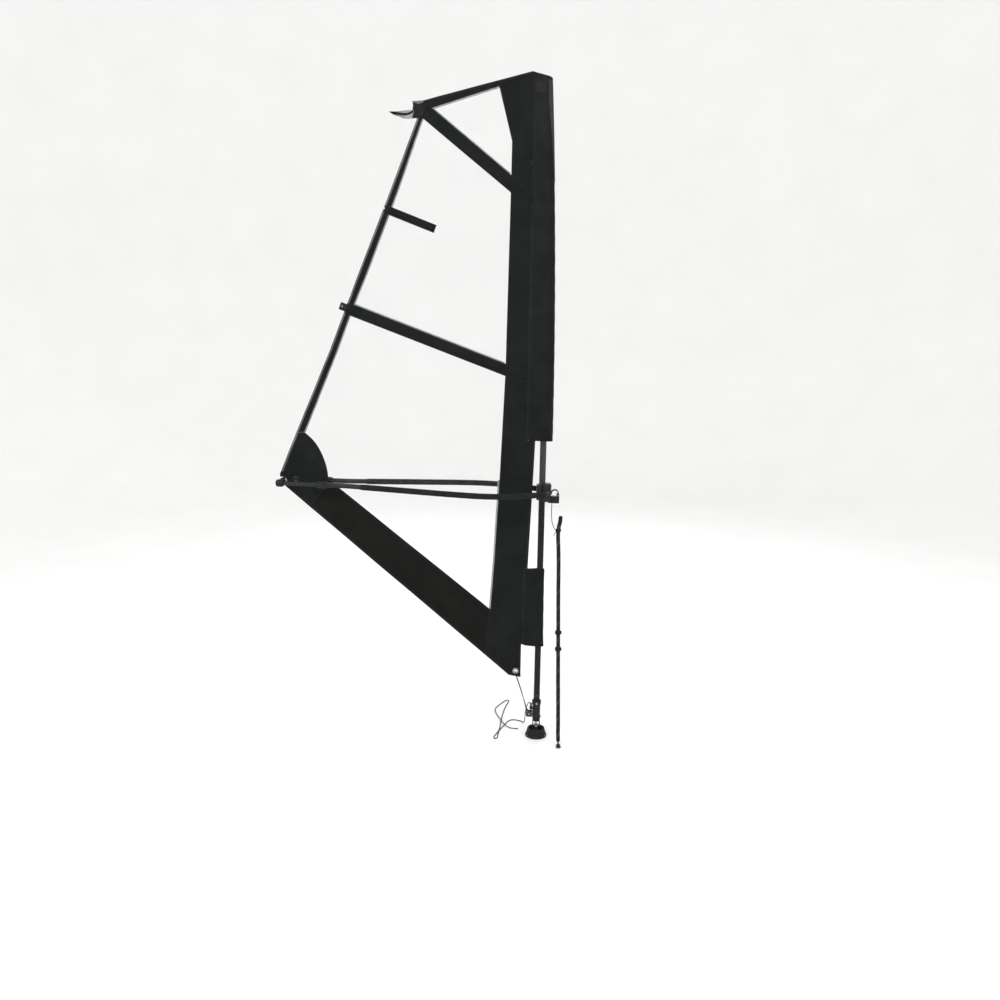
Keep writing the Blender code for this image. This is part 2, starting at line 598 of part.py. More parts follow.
def make_sail():
    """Sleeves, cloth panels, film windows and eyelets."""
    make_sleeve("luff_sleeve_upper", upper_sleeve_stations())
    make_sleeve("luff_sleeve_lower", [(SLEEVE_BOTTOM_Z, 0.0280, 0.0220), (0.7000, 0.0240, 0.0216),
                                      (CUTOUT_BOTTOM_Z, 0.0225, 0.0214)])
    half = CLOTH / 2
    luff = sheet("luff_panel", [
        APEX, HEAD_CORNER, HEAD_INNER, LUFF_HEAD, LUFF_UPPER, LUFF_MIDDLE, LUFF_CLEW, LUFF_LOWER, LUFF_FOOT,
        FOOT_LUFF, TACK_BACK, TACK_FRONT, TACK_TOP, (SEAM_X, 0.5150), (SEAM_X, CUTOUT_BOTTOM_Z),
        (-0.065, CUTOUT_BOTTOM_Z + 0.001), (-0.041, CUTOUT_TOP_Z - 0.001), (SEAM_X, CUTOUT_TOP_Z),
        HEAD_SEAM], -half, half, SAILCLOTH)
    cut(luff, rod_mesh(EYELET_BARREL + GAP, -0.01, 0.01, "Y", (TACK_EYELET[0], 0, TACK_EYELET[1])))
    sheet("head_strip", [HEAD_CORNER, PEAK_TOP, PEAK_LOW, PEAK_LEECH, PEAK_TAPE, PEAK_INNER, HEAD_INNER],
          -half, half, SAILCLOTH)
    sheet("leech_tape", [PEAK_LEECH, (-0.777, 2.815), (-0.930, 2.434), (-1.084, 2.042), LEECH_LOW,
                         LEECH_LOW_INNER, (-1.048, 2.042), LEECH_MIDDLE, (-0.890, 2.434), (-0.742, 2.815),
                         PEAK_TAPE], -half, half, SAILCLOTH)
    clew = sheet("clew_patch", [LEECH_LOW, CLEW_TIP, CLEW_NOTCH, CLEW_FOOT, FOOT_PATCH, FOOT_CLEW,
                                *reversed(CLEW_CURVE), LEECH_LOW_INNER], -half, half, SAILCLOTH)
    cut(clew, rod_mesh(EYELET_BARREL + GAP, -0.01, 0.01, "Y", (CLEW_EYELET[0], 0, CLEW_EYELET[1])))
    sheet("foot_panel", [FOOT_PATCH, FOOT_LUFF, LUFF_FOOT, FOOT_CLEW], -half, half, SAILCLOTH)
    film = FILM / 2
    sheet("window_head", [PEAK_INNER, PEAK_TAPE, LUFF_UPPER, LUFF_HEAD, HEAD_INNER], -film, film, WINDOW)
    sheet("window_upper", [PEAK_TAPE, (-0.742, 2.815), (-0.890, 2.434), LEECH_MIDDLE, LUFF_MIDDLE, LUFF_UPPER],
          -film, film, WINDOW)
    sheet("window_main", [LEECH_MIDDLE, (-1.048, 2.042), LEECH_LOW_INNER, *CLEW_CURVE, FOOT_CLEW, LUFF_FOOT,
                          LUFF_LOWER, LUFF_CLEW, LUFF_MIDDLE], -film, film, WINDOW)
    eyelet("tack_eyelet", TACK_EYELET)
    eyelet("clew_eyelet", CLEW_EYELET)


# ---------------------------------------------------------------- battens and their pockets
def along_pocket(start, end):
    """A local frame: X along the pocket, Z across it and Y out of the sail."""
    direction = Vector((end[0] - start[0], 0, end[1] - start[1]))
    turn = math.atan2(-direction.z, direction.x)
    return Matrix.Translation((start[0], 0, start[1])) @ Matrix.Rotation(turn, 4, "Y"), direction.length


def make_pocket(name, start, end, width, tip):
    """A sewn pocket with one open end at the leech and a pointed end at the luff."""
    frame, length = along_pocket(start, end)
    wall = 0.0009
    back, front = POCKET_FRONT_Y, POCKET_FRONT_Y - POCKET_DEPTH
    half = width / 2
    bm = bmesh.new()

    def ring(x, margin):
        places = [(-half + margin, front + margin), (half - margin, front + margin),
                  (half - margin, back - margin), (-half + margin, back - margin)]
        return [bm.verts.new((x, y, z)) for z, y in places]

    outer_open, outer_shut = ring(0.0, 0.0), ring(length - tip, 0.0)
    inner_open, inner_shut = ring(0.0, wall), ring(length - tip - wall, wall)
    point = [bm.verts.new((length, front, 0.0)), bm.verts.new((length, back, 0.0))]
    for k in range(4):
        n = (k + 1) % 4
        bm.faces.new((outer_open[k], outer_open[n], outer_shut[n], outer_shut[k]))
        bm.faces.new((inner_open[k], inner_open[n], inner_shut[n], inner_shut[k]))
        bm.faces.new((outer_open[k], outer_open[n], inner_open[n], inner_open[k]))
    bm.faces.new(inner_shut)
    bm.faces.new((outer_shut[0], outer_shut[1], point[0]))
    bm.faces.new((outer_shut[3], outer_shut[2], point[1]))
    bm.faces.new((outer_shut[1], outer_shut[2], point[1], point[0]))
    bm.faces.new((outer_shut[0], outer_shut[3], point[1], point[0]))
    bmesh.ops.transform(bm, matrix=frame, verts=bm.verts)
    add_mesh(name, bm, SAILCLOTH)


def make_batten(name, start, end, tip, width=0.016):
    """A flat batten inside its pocket, a little proud of the open end."""
    frame, length = along_pocket(start, end)
    middle = POCKET_FRONT_Y - POCKET_DEPTH / 2
    bm = block_mesh((0.0015, middle - 0.0011, -width / 2), (length - tip - 0.004, middle + 0.0011, width / 2))
    bmesh.ops.transform(bm, matrix=frame, verts=bm.verts)
    add_mesh(name, bm, BATTEN)


def make_battens():
    """Three battens in three pockets, with the fittings at the leech."""
    rows = [("upper", (-0.596, 3.1685), (-0.083, 2.7705), 0.065, 0.036),
            ("middle", (-1.000, 2.2500), (-0.083, 1.915), 0.058, 0.034),
            ("short", (-0.806, 2.7270), (-0.560, 2.636), 0.040, 0.003)]
    for label, start, end, width, tip in rows:
        make_pocket(f"batten_pocket_{label}", start, end, width, tip)
        make_batten(f"batten_{label}", start, end, tip)
    frame, _ = along_pocket(rows[1][1], rows[1][2])
    bm = block_mesh((-0.0320, -0.0095, -0.0190), (-0.0006, POCKET_FRONT_Y, 0.0190), 0.0022)
    bmesh.ops.transform(bm, matrix=frame, verts=bm.verts)
    add_mesh("batten_cap", bm, PLASTIC)
    sheet("peak_strap", [(-0.672, 3.2160), (-0.612, 3.2255), (-0.604, 3.1820), (-0.628, 3.1450),
                         (-0.671, 3.1450), (-0.660, 3.1720)], -0.0100, POCKET_FRONT_Y, WEBBING)
    sheet("strap_tail", [(-0.6640, 3.1735), (-0.700, 3.1760), (-0.782, 3.1720), (-0.745, 3.1560),
                         (-0.710, 3.1460), (-0.6740, 3.1480)], -0.0070, -0.0050, WEBBING)


# ---------------------------------------------------------------- boom
def mast_bore():
    """The upright bore for the mast, in the boom's tilted frame."""
    bm = rod_mesh(MAST_RADIUS + GAP, -0.08, 0.08, "Z", sides=32)
    bmesh.ops.rotate(bm, verts=bm.verts, cent=(0, 0, 0), matrix=Matrix.Rotation(-BOOM_TILT, 3, "Y"))
    return bm


def make_boom(frame):
    """Head with its nose, two arms with grips, collars and the sliding tail."""
    head = block("boom_head", (0.0012, -0.0300, -0.0480), (0.0440, 0.0300, 0.0470), PLASTIC, 0.005, frame)
    cut(head, block_mesh((0.0300, -0.0200, -0.0540), (0.0900, 0.0200, -0.0180), 0.005), "UNION")
    for side in (-1, 1):
        near, far = sorted((side * 0.0142, side * 0.0182))
        cut(head, block_mesh((0.0760, near, -0.0240), (0.0890, far, -0.0050), 0.0015), "UNION")
    cut(head, mast_bore())
    jaw = block("clamp_jaw", (-0.0290, -0.0290, -0.0400), (-0.0012, 0.0290, 0.0400), PLASTIC, 0.005,
                empty("clamp_jaw_hinge", (0, 0.0290, 0), parent=frame))
    jaw.location = (0, -0.0290, 0)
    cut(jaw, mast_bore())

    level = [(x, y, 0.0) for x, y in ARM_ROUTE]
    stations = [Vector(level[0]), *smooth_route(level[1:], 0.060)]
    gripped = [i for i, p in enumerate(stations) if GRIP_BACK_X < p.x < GRIP_FRONT_X]
    for label, side in (("near", -1), ("far", 1)):
        route = [Vector((p.x, p.y * side, 0.0)) for p in stations]
        swept_tube(f"boom_arm_{label}", route, (0, len(route)), ARM_RADIUS, ARM_BORE, BOOM_SKIN, frame)
        swept_tube(f"boom_grip_{label}", route, (gripped[0], gripped[-1] + 1), GRIP_RADIUS, GRIP_BORE,
                   FOAM, frame)
        make_collar(label, side, frame)
    make_tail(empty("boom_tail_slide", (TAIL_END_X, 0, 0), parent=frame))
    make_lever(empty("clamp_lever_hinge", (0.0825, 0, -0.0113), parent=frame))


def make_collar(label, side, frame):
    """A twist collar that grips one tail tube where it leaves its arm."""
    pivot = empty(f"twist_collar_{label}_hinge", (ARM_END_X, side * TAIL_HALF_WIDTH, 0), parent=frame)
    over, under = ARM_RADIUS + GAP, TAIL_RADIUS + GAP
    turned(f"twist_collar_{label}",
           [(over, 0.0340), (0.0165, 0.0340), (0.0175, 0.0320), (0.0175, -0.0120), (0.0150, -0.0180),
            (under, -0.0180), (under, -0.0010), (over, -0.0010)], PLASTIC, axis="X", parent=pivot)


def make_tail(slide):
    """Two tail tubes and the end that joins them, which slide out of the arms together."""
    width = TAIL_HALF_WIDTH + 0.0165
    end = block("tail_end", (0.0, -width, -0.0220), (0.0400, width, 0.0220), PLASTIC, 0.007, slide)
    for side in (-1, 1):
        offset = (0, side * TAIL_HALF_WIDTH, 0)
        cut(end, rod_mesh(TAIL_RADIUS + GAP, 0.0150, 0.05, "X", offset))
        label = "near" if side < 0 else "far"
        bm = turned_mesh(ring_profile(TAIL_BORE, TAIL_RADIUS, 0.0155, 0.3200), True, 12, "X")
        bmesh.ops.translate(bm, verts=bm.verts, vec=offset)
        add_mesh(f"tail_tube_{label}", bm, BOOM_SKIN, slide, smooth=True)


def make_lever(pivot):
    """The arched clamp lever on top of the nose."""
    centre = Vector((-0.0165, 0.0085))
    outer, inner = 0.0200, 0.0150
    steps = 10
    arc = [math.radians(-28 + 226 * k / steps) for k in range(steps + 1)]
    outline = [centre + outer * Vector((math.cos(a), math.sin(a))) for a in arc]
    outline += [centre + inner * Vector((math.cos(a), math.sin(a))) for a in reversed(arc)]
    lever = sheet("clamp_lever", [tuple(p) for p in outline], -0.0130, 0.0130, PLASTIC, 0.0, pivot)
    cut(lever, rod_mesh(0.0055, -0.0136, 0.0136, "Y"), "UNION")


# ---------------------------------------------------------------- lines
def boom_place(x, y, z):
    """World place of a point in the boom's own frame."""
    return Vector((0, 0, BOOM_Z)) + Matrix.Rotation(BOOM_TILT, 3, "Y") @ Vector((x, y, z))


def make_lines():
    """Outhaul, downhaul and its tail, and the uphaul on its lanyard."""
    through = Vector((CLEW_EYELET[0], 0, CLEW_EYELET[1]))
    start = boom_place(TAIL_END_X + 0.0415, -0.0105, 0.004)
    cord("outhaul_line", [start, through + Vector((-0.018, -0.0100, 0)), through + Vector((-0.0060, -0.0072, 0)),
                          through + Vector((-0.0020, 0, 0)), through + Vector((-0.0060, 0.0072, 0)),
                          through + Vector((-0.018, 0.0100, 0)), start + Vector((0, 0.0210, 0))],
         OUTHAUL_RADIUS, 0.005)
    tack = Vector((TACK_EYELET[0], 0, TACK_EYELET[1]))
    sheave = Vector((SHEAVE_X, 0, SHEAVE_Z))
    reach = 0.0115
    wrap = [sheave + reach * Vector((math.cos(math.radians(a)), 0, math.sin(math.radians(a))))
            for a in (180, 225, 270, 315, 360)]
    cord("downhaul_line", [(-0.0500, -0.0071, 0.1448), (-0.0530, -0.0074, 0.1560), (-0.0830, -0.0090, 0.2500),
                           tack + Vector((0.004, -0.0095, -0.024)), tack + Vector((-0.0005, -0.0075, -0.0080)),
                           tack + Vector((-0.0010, 0.0, -0.0040)), tack + Vector((-0.0005, 0.0075, -0.0080)),
                           tack + Vector((0.004, 0.0085, -0.024)), (-0.0830, 0.0055, 0.2500),
                           (-0.0560, 0.0008, 0.1520), *wrap, (-0.0285, 0.0, 0.1420), (-0.0285, 0.0, 0.1600),
                           (-0.0285, 0.0, 0.1735)], DOWNHAUL_RADIUS, 0.0100)
    cord("downhaul_tail", TAIL_ROUTE, TAIL_LINE_RADIUS, 0.0125)
    cord("uphaul_lanyard", LANYARD_ROUTE, LANYARD_RADIUS, 0.010)
    cord("uphaul_rope", UPHAUL_ROUTE, UPHAUL_RADIUS, 0.042)
    make_hook(Vector(UPHAUL_ROUTE[-1]))


def make_hook(end):
    """The plastic hook that lies on the deck at the uphaul's end."""
    low = 0.0012
    hook = block("uphaul_hook", (end.x - 0.0120, end.y - 0.0460, low), (end.x + 0.0120, end.y - 0.0120, 0.0130),
                 PLASTIC, 0.003)
    cut(hook, block_mesh((end.x - 0.0050, end.y - 0.0390, -0.01), (end.x + 0.0160, end.y - 0.0260, 0.03)))


# ---------------------------------------------------------------- assembly
swivel = empty("mast_swivel_axis", (0, 0, JOINT_Z))
roll = empty("joint_roll_axis", (0, 0, 0), parent=swivel)
pitch = empty("joint_pitch_axis", (0, 0, 0), parent=roll)
boom = empty("boom_frame", (0, 0, BOOM_Z), (0, BOOM_TILT, 0))

make_base(pitch)
make_cross(roll)
make_swivel(swivel)
make_extension()
make_release_button()
make_collar_pin()
make_downhaul_gear()
make_mast()
make_sail()
make_battens()
make_boom(boom)
make_lines()
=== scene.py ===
"""The looks of a small windsurf sail rig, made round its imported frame.

Metres, +Z up along the mast, the mast's axis at X = 0 and Y = 0, the deck at Z = 0, and the sail in
the XZ plane with its clew towards -X. The sail's outlines come from the frame's own panels.
"""
import math

import bmesh
import bpy
import numpy as np
from mathutils import Matrix, Vector
from mathutils.geometry import delaunay_2d_cdt


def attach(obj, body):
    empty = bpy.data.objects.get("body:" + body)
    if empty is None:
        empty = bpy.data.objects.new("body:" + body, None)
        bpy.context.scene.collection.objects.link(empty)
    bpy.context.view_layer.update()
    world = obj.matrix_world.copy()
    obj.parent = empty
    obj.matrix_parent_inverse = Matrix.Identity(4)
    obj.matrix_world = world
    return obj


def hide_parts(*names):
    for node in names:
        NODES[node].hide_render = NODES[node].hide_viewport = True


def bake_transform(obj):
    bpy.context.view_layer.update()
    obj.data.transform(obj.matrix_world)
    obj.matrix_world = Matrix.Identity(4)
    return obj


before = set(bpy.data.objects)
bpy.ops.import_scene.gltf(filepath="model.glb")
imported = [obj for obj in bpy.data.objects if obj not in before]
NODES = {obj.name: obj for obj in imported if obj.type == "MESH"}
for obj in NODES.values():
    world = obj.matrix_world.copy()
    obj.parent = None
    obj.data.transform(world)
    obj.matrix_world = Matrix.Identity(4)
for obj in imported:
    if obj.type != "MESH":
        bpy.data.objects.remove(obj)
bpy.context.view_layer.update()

# ---------------------------------------------------------------- camera
CAMERA_PLACE = (-0.2163, -4.4316, 2.0735)
CAMERA_PITCH = math.radians(10.0)
CAMERA_ROLL = 0.017785
CAMERA_LENS = 31.32

# ---------------------------------------------------------------- sizes shared by several pieces
SEAM_X = -0.0777
TACK = (-0.117, 0.365)
CLEW = (-1.270, 1.383)
CLEW_END = (-1.335, 1.418)
PEAK = (-0.64, 3.18)
# the lower and upper end of each luff sleeve
UPPER_SLEEVE = (1.6025, 3.3500)
LOWER_SLEEVE = (0.5090, 0.9290)
# half of each sheet's thickness
CLOTH_HALF = 0.0009
FILM_HALF = 0.0002
TAPE_HALF = 0.0016
# one stitch, and how far it lies above the cloth
STITCH_HALF_LENGTH = 0.0022
STITCH_HALF_WIDTH = 0.00042
STITCH_HALF_DEPTH = 0.00045
STITCH_LIFT = 0.0004
JOINT_Z = 0.060
BUTTON_Z = 0.110
COLLAR_PIN_Z = 0.191
SHEAVE = Vector((-0.040, 0, 0.125))
MAST_FOOT_Z = 0.2050
MAST_WALL = 0.002
MAST_RADIUS = 0.0165
MAST_TOP_RADIUS = 0.0100
MAST_JOIN_Z = 1.750
MAST_TOP_Z = 3.335
MAST_BEND = 0.015
BOOM_Z = 1.338
BOOM_TILT = math.radians(1.5)
ARM_RADIUS = 0.0125
GRIP_RADIUS = 0.0145
TAIL_RADIUS = 0.0100
TAIL_HALF_WIDTH = 0.078
ARM_END_X = -1.130
TAIL_END_X = -1.354
BOOM = Matrix.Translation((0, 0, BOOM_Z)) @ Matrix.Rotation(BOOM_TILT, 4, "Y")
MIRROR_Y = Matrix.Scale(-1, 4, (0, 1, 0))

# corners where the sail's panels meet or end, as (x, z)
HEAD_FRONT = (-0.096, 3.367)
HEAD_REAR = (-0.256, 3.324)
HEAD_WINDOW_FRONT = (-0.256, 3.300)
HEAD_WINDOW_REAR = (-0.600, 3.190)
PEAK_TOP = (-0.662, 3.215)
LEECH_TOP = (-0.646, 3.150)
LEECH_WINDOW_TOP = (-0.620, 3.150)
LEECH_FOOT = (-1.264, 1.622)
LEECH_WINDOW_FOOT = (-1.221, 1.627)
CLEW_REAR = (-1.345, 1.425)
CLEW_BOTTOM = (-1.331, 1.3522)
CLEW_FRONT = (-1.101, 1.371)
FOOT_REAR = (-1.200, 1.2395)
FOOT_TOP = (-0.258, 0.692)
FOOT_FRONT = (-0.283, 0.4525)
TACK_BOTTOM = (-0.153, 0.341)
TACK_FRONT = (-0.090, 0.331)
TACK_TOP = (-0.090, 0.515)

# routes of the cords, as (x, y, z)
UPHAUL_ROUTE = [
    (0.100, -0.004, 1.214), (0.098, -0.004, 1.185), (0.091, -0.004, 1.150), (0.0895, -0.004, 1.105),
    (0.093, -0.006, 1.040), (0.096, -0.008, 0.960), (0.099, -0.012, 0.800), (0.103, -0.018, 0.640),
    (0.106, -0.026, 0.500), (0.109, -0.040, 0.350), (0.112, -0.060, 0.210), (0.1135, -0.081, 0.110),
    (0.1135, -0.100, 0.048), (0.1135, -0.116, 0.019)]
LANYARD_ROUTE = [
    (0.052, -0.006, 1.2822), (0.0515, -0.006, 1.250), (0.0525, -0.007, 1.215), (0.056, -0.009, 1.180),
    (0.064, -0.0135, 1.158), (0.074, -0.0175, 1.143), (0.084, -0.0185, 1.134)]
TAIL_ROUTE = [
    (-0.0292, 0.0055, 0.1735), (-0.036, 0.024, 0.1770), (-0.046, 0.060, 0.1500), (-0.055, 0.095, 0.095),
    (-0.057, 0.122, 0.040), (-0.062, 0.147, 0.0075), (-0.083, 0.173, 0.0030), (-0.122, 0.186, 0.0030),
    (-0.150, 0.163, 0.0030), (-0.166, 0.125, 0.0030), (-0.184, 0.080, 0.0030), (-0.205, 0.030, 0.0030),
    (-0.222, -0.020, 0.0030), (-0.228, -0.044, 0.0030), (-0.219, -0.058, 0.0030),
    (-0.209, -0.044, 0.0030), (-0.205, -0.005, 0.0030), (-0.200, 0.038, 0.0085),
    (-0.195, 0.085, 0.0040), (-0.190, 0.150, 0.0030), (-0.183, 0.227, 0.0030),
    (-0.174, 0.300, 0.0030), (-0.160, 0.375, 0.0030), (-0.144, 0.438, 0.0030), (-0.147, 0.457, 0.0030),
    (-0.163, 0.452, 0.0030), (-0.187, 0.412, 0.0030), (-0.214, 0.358, 0.0030), (-0.223, 0.315, 0.0030),
    (-0.213, 0.255, 0.0035), (-0.194, 0.182, 0.0088), (-0.176, 0.128, 0.0080), (-0.160, 0.098, 0.0070),
    (-0.136, 0.078, 0.0030), (-0.095, 0.070, 0.0030)]
# half of the boom's outline seen from above, as (x, y) in the boom's own frame
ARM_ROUTE = [
    (0.026, 0.0308), (0.026, 0.0450), (0.019, 0.0680), (-0.006, 0.093), (-0.060, 0.126), (-0.140, 0.172),
    (-0.220, 0.203), (-0.320, 0.213), (-0.450, 0.197), (-0.590, 0.168), (-0.720, 0.140),
    (-0.830, 0.115), (-0.920, 0.096), (-0.985, 0.083), (-1.030, TAIL_HALF_WIDTH),
    (ARM_END_X, TAIL_HALF_WIDTH)]


# ---------------------------------------------------------------- materials
class Look:
    """A Principled material, with short ways to add nodes to it."""

    def __init__(self, name, color, roughness, metallic=0.0, **sockets):
        self.mat = bpy.data.materials.new(name)
        self.mat.use_nodes = True
        self.tree = self.mat.node_tree
        self.shader = self.tree.nodes["Principled BSDF"]
        self.shader.inputs["Base Color"].default_value = (*color, 1.0)
        self.shader.inputs["Roughness"].default_value = roughness
        self.shader.inputs["Metallic"].default_value = metallic
        for key, value in sockets.items():
            self.shader.inputs[key.replace("_", " ")].default_value = value
        self.place = self.add("ShaderNodeTexCoord").outputs["Object"]

    def add(self, kind, **values):
        """Add a node, with its settings and its inputs' values by name."""
        made = self.tree.nodes.new(kind)
        for key, value in values.items():
            name = key.replace("_", " ")
            if name in made.inputs:
                made.inputs[name].default_value = value
            else:
                setattr(made, key, value)
        return made

    def link(self, source, target):
        self.tree.links.new(source, target)

    def noise(self, scale, detail=3.0, stretch=(1, 1, 1)):
        """A noise value over the piece, finer with a larger scale."""
        spread = self.add("ShaderNodeMapping")
        spread.inputs["Scale"].default_value = stretch
        self.link(self.place, spread.inputs["Vector"])
        made = self.add("ShaderNodeTexNoise", Scale=scale, Detail=detail)
        self.link(spread.outputs["Vector"], made.inputs["Vector"])
        return made.outputs["Fac"]

    def waves(self, period, direction):
        """Even bands across one axis."""
        made = self.add("ShaderNodeTexWave", wave_type="BANDS", bands_direction=direction,
                        Scale=math.tau / 20 / period, Distortion=0.0)
        self.link(self.place, made.inputs["Vector"])
        return made.outputs["Fac"]

    def ramp(self, value, stops):
        """Turn a value into a colour through (place, colour) stops."""
        made = self.add("ShaderNodeValToRGB")
        ramp = made.color_ramp
        while len(ramp.elements) < len(stops):
            ramp.elements.new(0.5)
        for element, (place, color) in zip(ramp.elements, stops):
            element.position = place
            element.color = (*color, 1.0)
        self.link(value, made.inputs["Fac"])
        return made.outputs["Color"]

    def between(self, value, low, high, start=0.3, end=0.7):
        """Map a value from one range to another."""
        made = self.add("ShaderNodeMapRange")
        for key, number in (("From Min", start), ("From Max", end), ("To Min", low), ("To Max", high)):
            made.inputs[key].default_value = number
        self.link(value, made.inputs["Value"])
        return made.outputs["Result"]

    def mixed(self, share, plain, other):
        """Mix a colour source with a fixed colour by a share."""
        made = self.add("ShaderNodeMix", data_type="RGBA")
        self.link(share, made.inputs[0])
        self.link(plain, made.inputs[6])
        made.inputs[7].default_value = (*other, 1.0)
        return made.outputs[2]

    def math(self, kind, a, b):
        made = self.add("ShaderNodeMath", operation=kind)
        for slot, value in zip(made.inputs, (a, b)):
            if isinstance(value, (int, float)):
                slot.default_value = value
            else:
                self.link(value, slot)
        return made.outputs["Value"]

    def relief(self, value, distance, strength=1.0):
        """Chain a bump onto the shader's normal."""
        made = self.add("ShaderNodeBump", Distance=distance, Strength=strength)
        self.link(value, made.inputs["Height"])
        socket = self.shader.inputs["Normal"]
        if socket.is_linked:
            self.link(socket.links[0].from_socket, made.inputs["Normal"])
        self.link(made.outputs["Normal"], socket)

    def color(self, source):
        self.link(source, self.shader.inputs["Base Color"])

    def patches(self, scale, detail, dark, light, stretch=(1, 1, 1), start=0.3, end=0.7):
        """Colour the piece in soft patches between two colours."""
        self.color(self.ramp(self.noise(scale, detail, stretch), [(start, dark), (end, light)]))

    def rough(self, source):
        self.link(source, self.shader.inputs["Roughness"])

    def worn(self, color, light):
        """Lighten the edges, where hands and stones rub."""
        edges = self.add("ShaderNodeNewGeometry").outputs["Pointiness"]
        self.color(self.mixed(self.between(edges, 0.0, 0.6, 0.53, 0.60), color, light))


def cloth(name, dark, light, sheen, weave=0.0016):
    """Laminated sailcloth: a fine square weave, soft creases and a little dust."""
    look = Look(name, dark, 0.55, Sheen_Weight=sheen, Sheen_Roughness=0.45, Specular_IOR_Level=0.10)
    dusty = tuple(1.35 * c for c in light)
    look.color(look.ramp(look.noise(7.0, 6.0), [(0.32, dark), (0.60, light), (0.78, dusty)]))
    look.rough(look.between(look.noise(18.0, 4.0), 0.46, 0.66))
    woven = look.math("MULTIPLY", look.waves(weave, "X"), look.waves(weave, "Z"))
    look.relief(woven, 0.00016, 0.55)
    look.relief(look.noise(26.0, 5.0, (1, 1, 0.45)), 0.0011, 0.35)
    return look.mat


def plastic(name, dark, light, roughness):
    """Moulded plastic: a fine spark-eroded grain, small scuffs and rubbed edges."""
    look = Look(name, dark, roughness, Specular_IOR_Level=0.2)
    base = look.ramp(look.noise(35.0, 5.0), [(0.35, dark), (0.75, light)])
    look.worn(base, tuple(2.6 * c for c in light))
    look.rough(look.between(look.noise(60.0, 4.0), roughness - 0.08, roughness + 0.12))
    look.relief(look.noise(900.0, 2.0), 0.00008, 0.5)
    look.relief(look.noise(120.0, 4.0, (1, 1, 3)), 0.00010, 0.25)
    return look.mat


def metal(name, dark, light, roughness, stretch):
    """Brushed or drawn metal with fine scratches along one way."""
    look = Look(name, dark, roughness, 1.0)
    look.patches(14.0, 5.0, dark, light)
    look.rough(look.between(look.noise(90.0, 6.0, stretch), roughness - 0.07, roughness + 0.14))
    look.relief(look.noise(420.0, 3.0, stretch), 0.00004, 0.35)
    return look.mat


def boom_skin():
    """Dark anodised tube with a satin finish and drawing marks along it."""
    look = Look("boom_skin", (0.014, 0.016, 0.017), 0.38, 0.15, Specular_IOR_Level=0.2)
    look.patches(9.0, 5.0, (0.012, 0.014, 0.015), (0.021, 0.023, 0.025))
    look.rough(look.between(look.noise(160.0, 5.0, (0.08, 1, 1)), 0.28, 0.46))
    look.relief(look.noise(700.0, 2.0, (0.04, 1, 1)), 0.00004, 0.4)
    return look.mat


def mast_skin():
    """Filament-wound tube under clear resin, with steep crossing bands, painted black below the boom."""
    look = Look("mast_skin", (0.042, 0.039, 0.050), 0.32, Coat_Weight=0.06, Coat_Roughness=0.18,
                Specular_IOR_Level=0.18)
    bands = []
    for lean in (0.9, -0.9):
        turn = look.add("ShaderNodeMapping")
        turn.inputs["Rotation"].default_value = (lean, lean, 0)
        look.link(look.place, turn.inputs["Vector"])
        made = look.add("ShaderNodeTexWave", wave_type="BANDS", bands_direction="Z", Scale=26.0,
                        Distortion=1.2)
        look.link(turn.outputs["Vector"], made.inputs["Vector"])
        bands.append(made.outputs["Fac"])
    woven = look.math("MULTIPLY", *bands)
    plain = look.ramp(woven, [(0.0, (0.030, 0.027, 0.036)), (0.8, (0.045, 0.041, 0.052))])
    parts = look.add("ShaderNodeSeparateXYZ")
    look.link(look.place, parts.inputs["Vector"])
    painted = look.between(parts.outputs["Z"], 0.97, 0.0, 1.29, 1.40)
    look.color(look.mixed(painted, plain, (0.0034, 0.0046, 0.0046)))
    look.rough(look.between(look.noise(40.0, 5.0, (1, 1, 0.2)), 0.22, 0.40))
    look.relief(woven, 0.00008, 0.3)
    return look.mat


def film():
    """Clear window film: thin, glossy and slightly crinkled."""
    look = Look("window_film", (0.50, 0.55, 0.55), 0.09, Alpha=0.012, Specular_IOR_Level=0.4)
    look.rough(look.between(look.noise(11.0, 4.0), 0.06, 0.16))
    look.relief(look.noise(8.0, 4.0), 0.0016, 0.35)
    look.relief(look.noise(60.0, 2.0, (1, 1, 0.3)), 0.0002, 0.3)
    return look.mat


def film_edge():
    """The grey strip where film and cloth are glued over each other."""
    look = Look("film_edge", (0.22, 0.24, 0.24), 0.30, Alpha=0.62)
    look.patches(40.0, 5.0, (0.16, 0.175, 0.17), (0.30, 0.33, 0.32), (1, 1, 0.4))
    look.relief(look.noise(90.0, 3.0), 0.0002, 0.3)
    return look.mat


def foam():
    """Boom grip foam, pressed with fine crossing grooves."""
    look = Look("grip_foam", (0.0085, 0.0098, 0.0100), 0.85, Specular_IOR_Level=0.15)
    look.patches(30.0, 6.0, (0.0078, 0.0090, 0.0092), (0.0155, 0.0172, 0.0174), end=0.75)
    grooves = look.math("MULTIPLY", look.waves(0.0042, "DIAGONAL"), look.waves(0.0042, "X"))
    look.relief(grooves, 0.0004, 0.6)
    look.relief(look.noise(1500.0, 2.0), 0.00012, 0.6)
    return look.mat


def fibre(name, color):
    """Twisted polyester yarn."""
    look = Look(name, color, 0.80, Sheen_Weight=0.05, Sheen_Roughness=0.5, Specular_IOR_Level=0.2)
    lighter = tuple(1.5 * c + 0.002 for c in color)
    look.patches(500.0, 3.0, color, lighter, end=0.75)
    look.relief(look.noise(1800.0, 2.0), 0.00015, 0.7)
    return look.mat


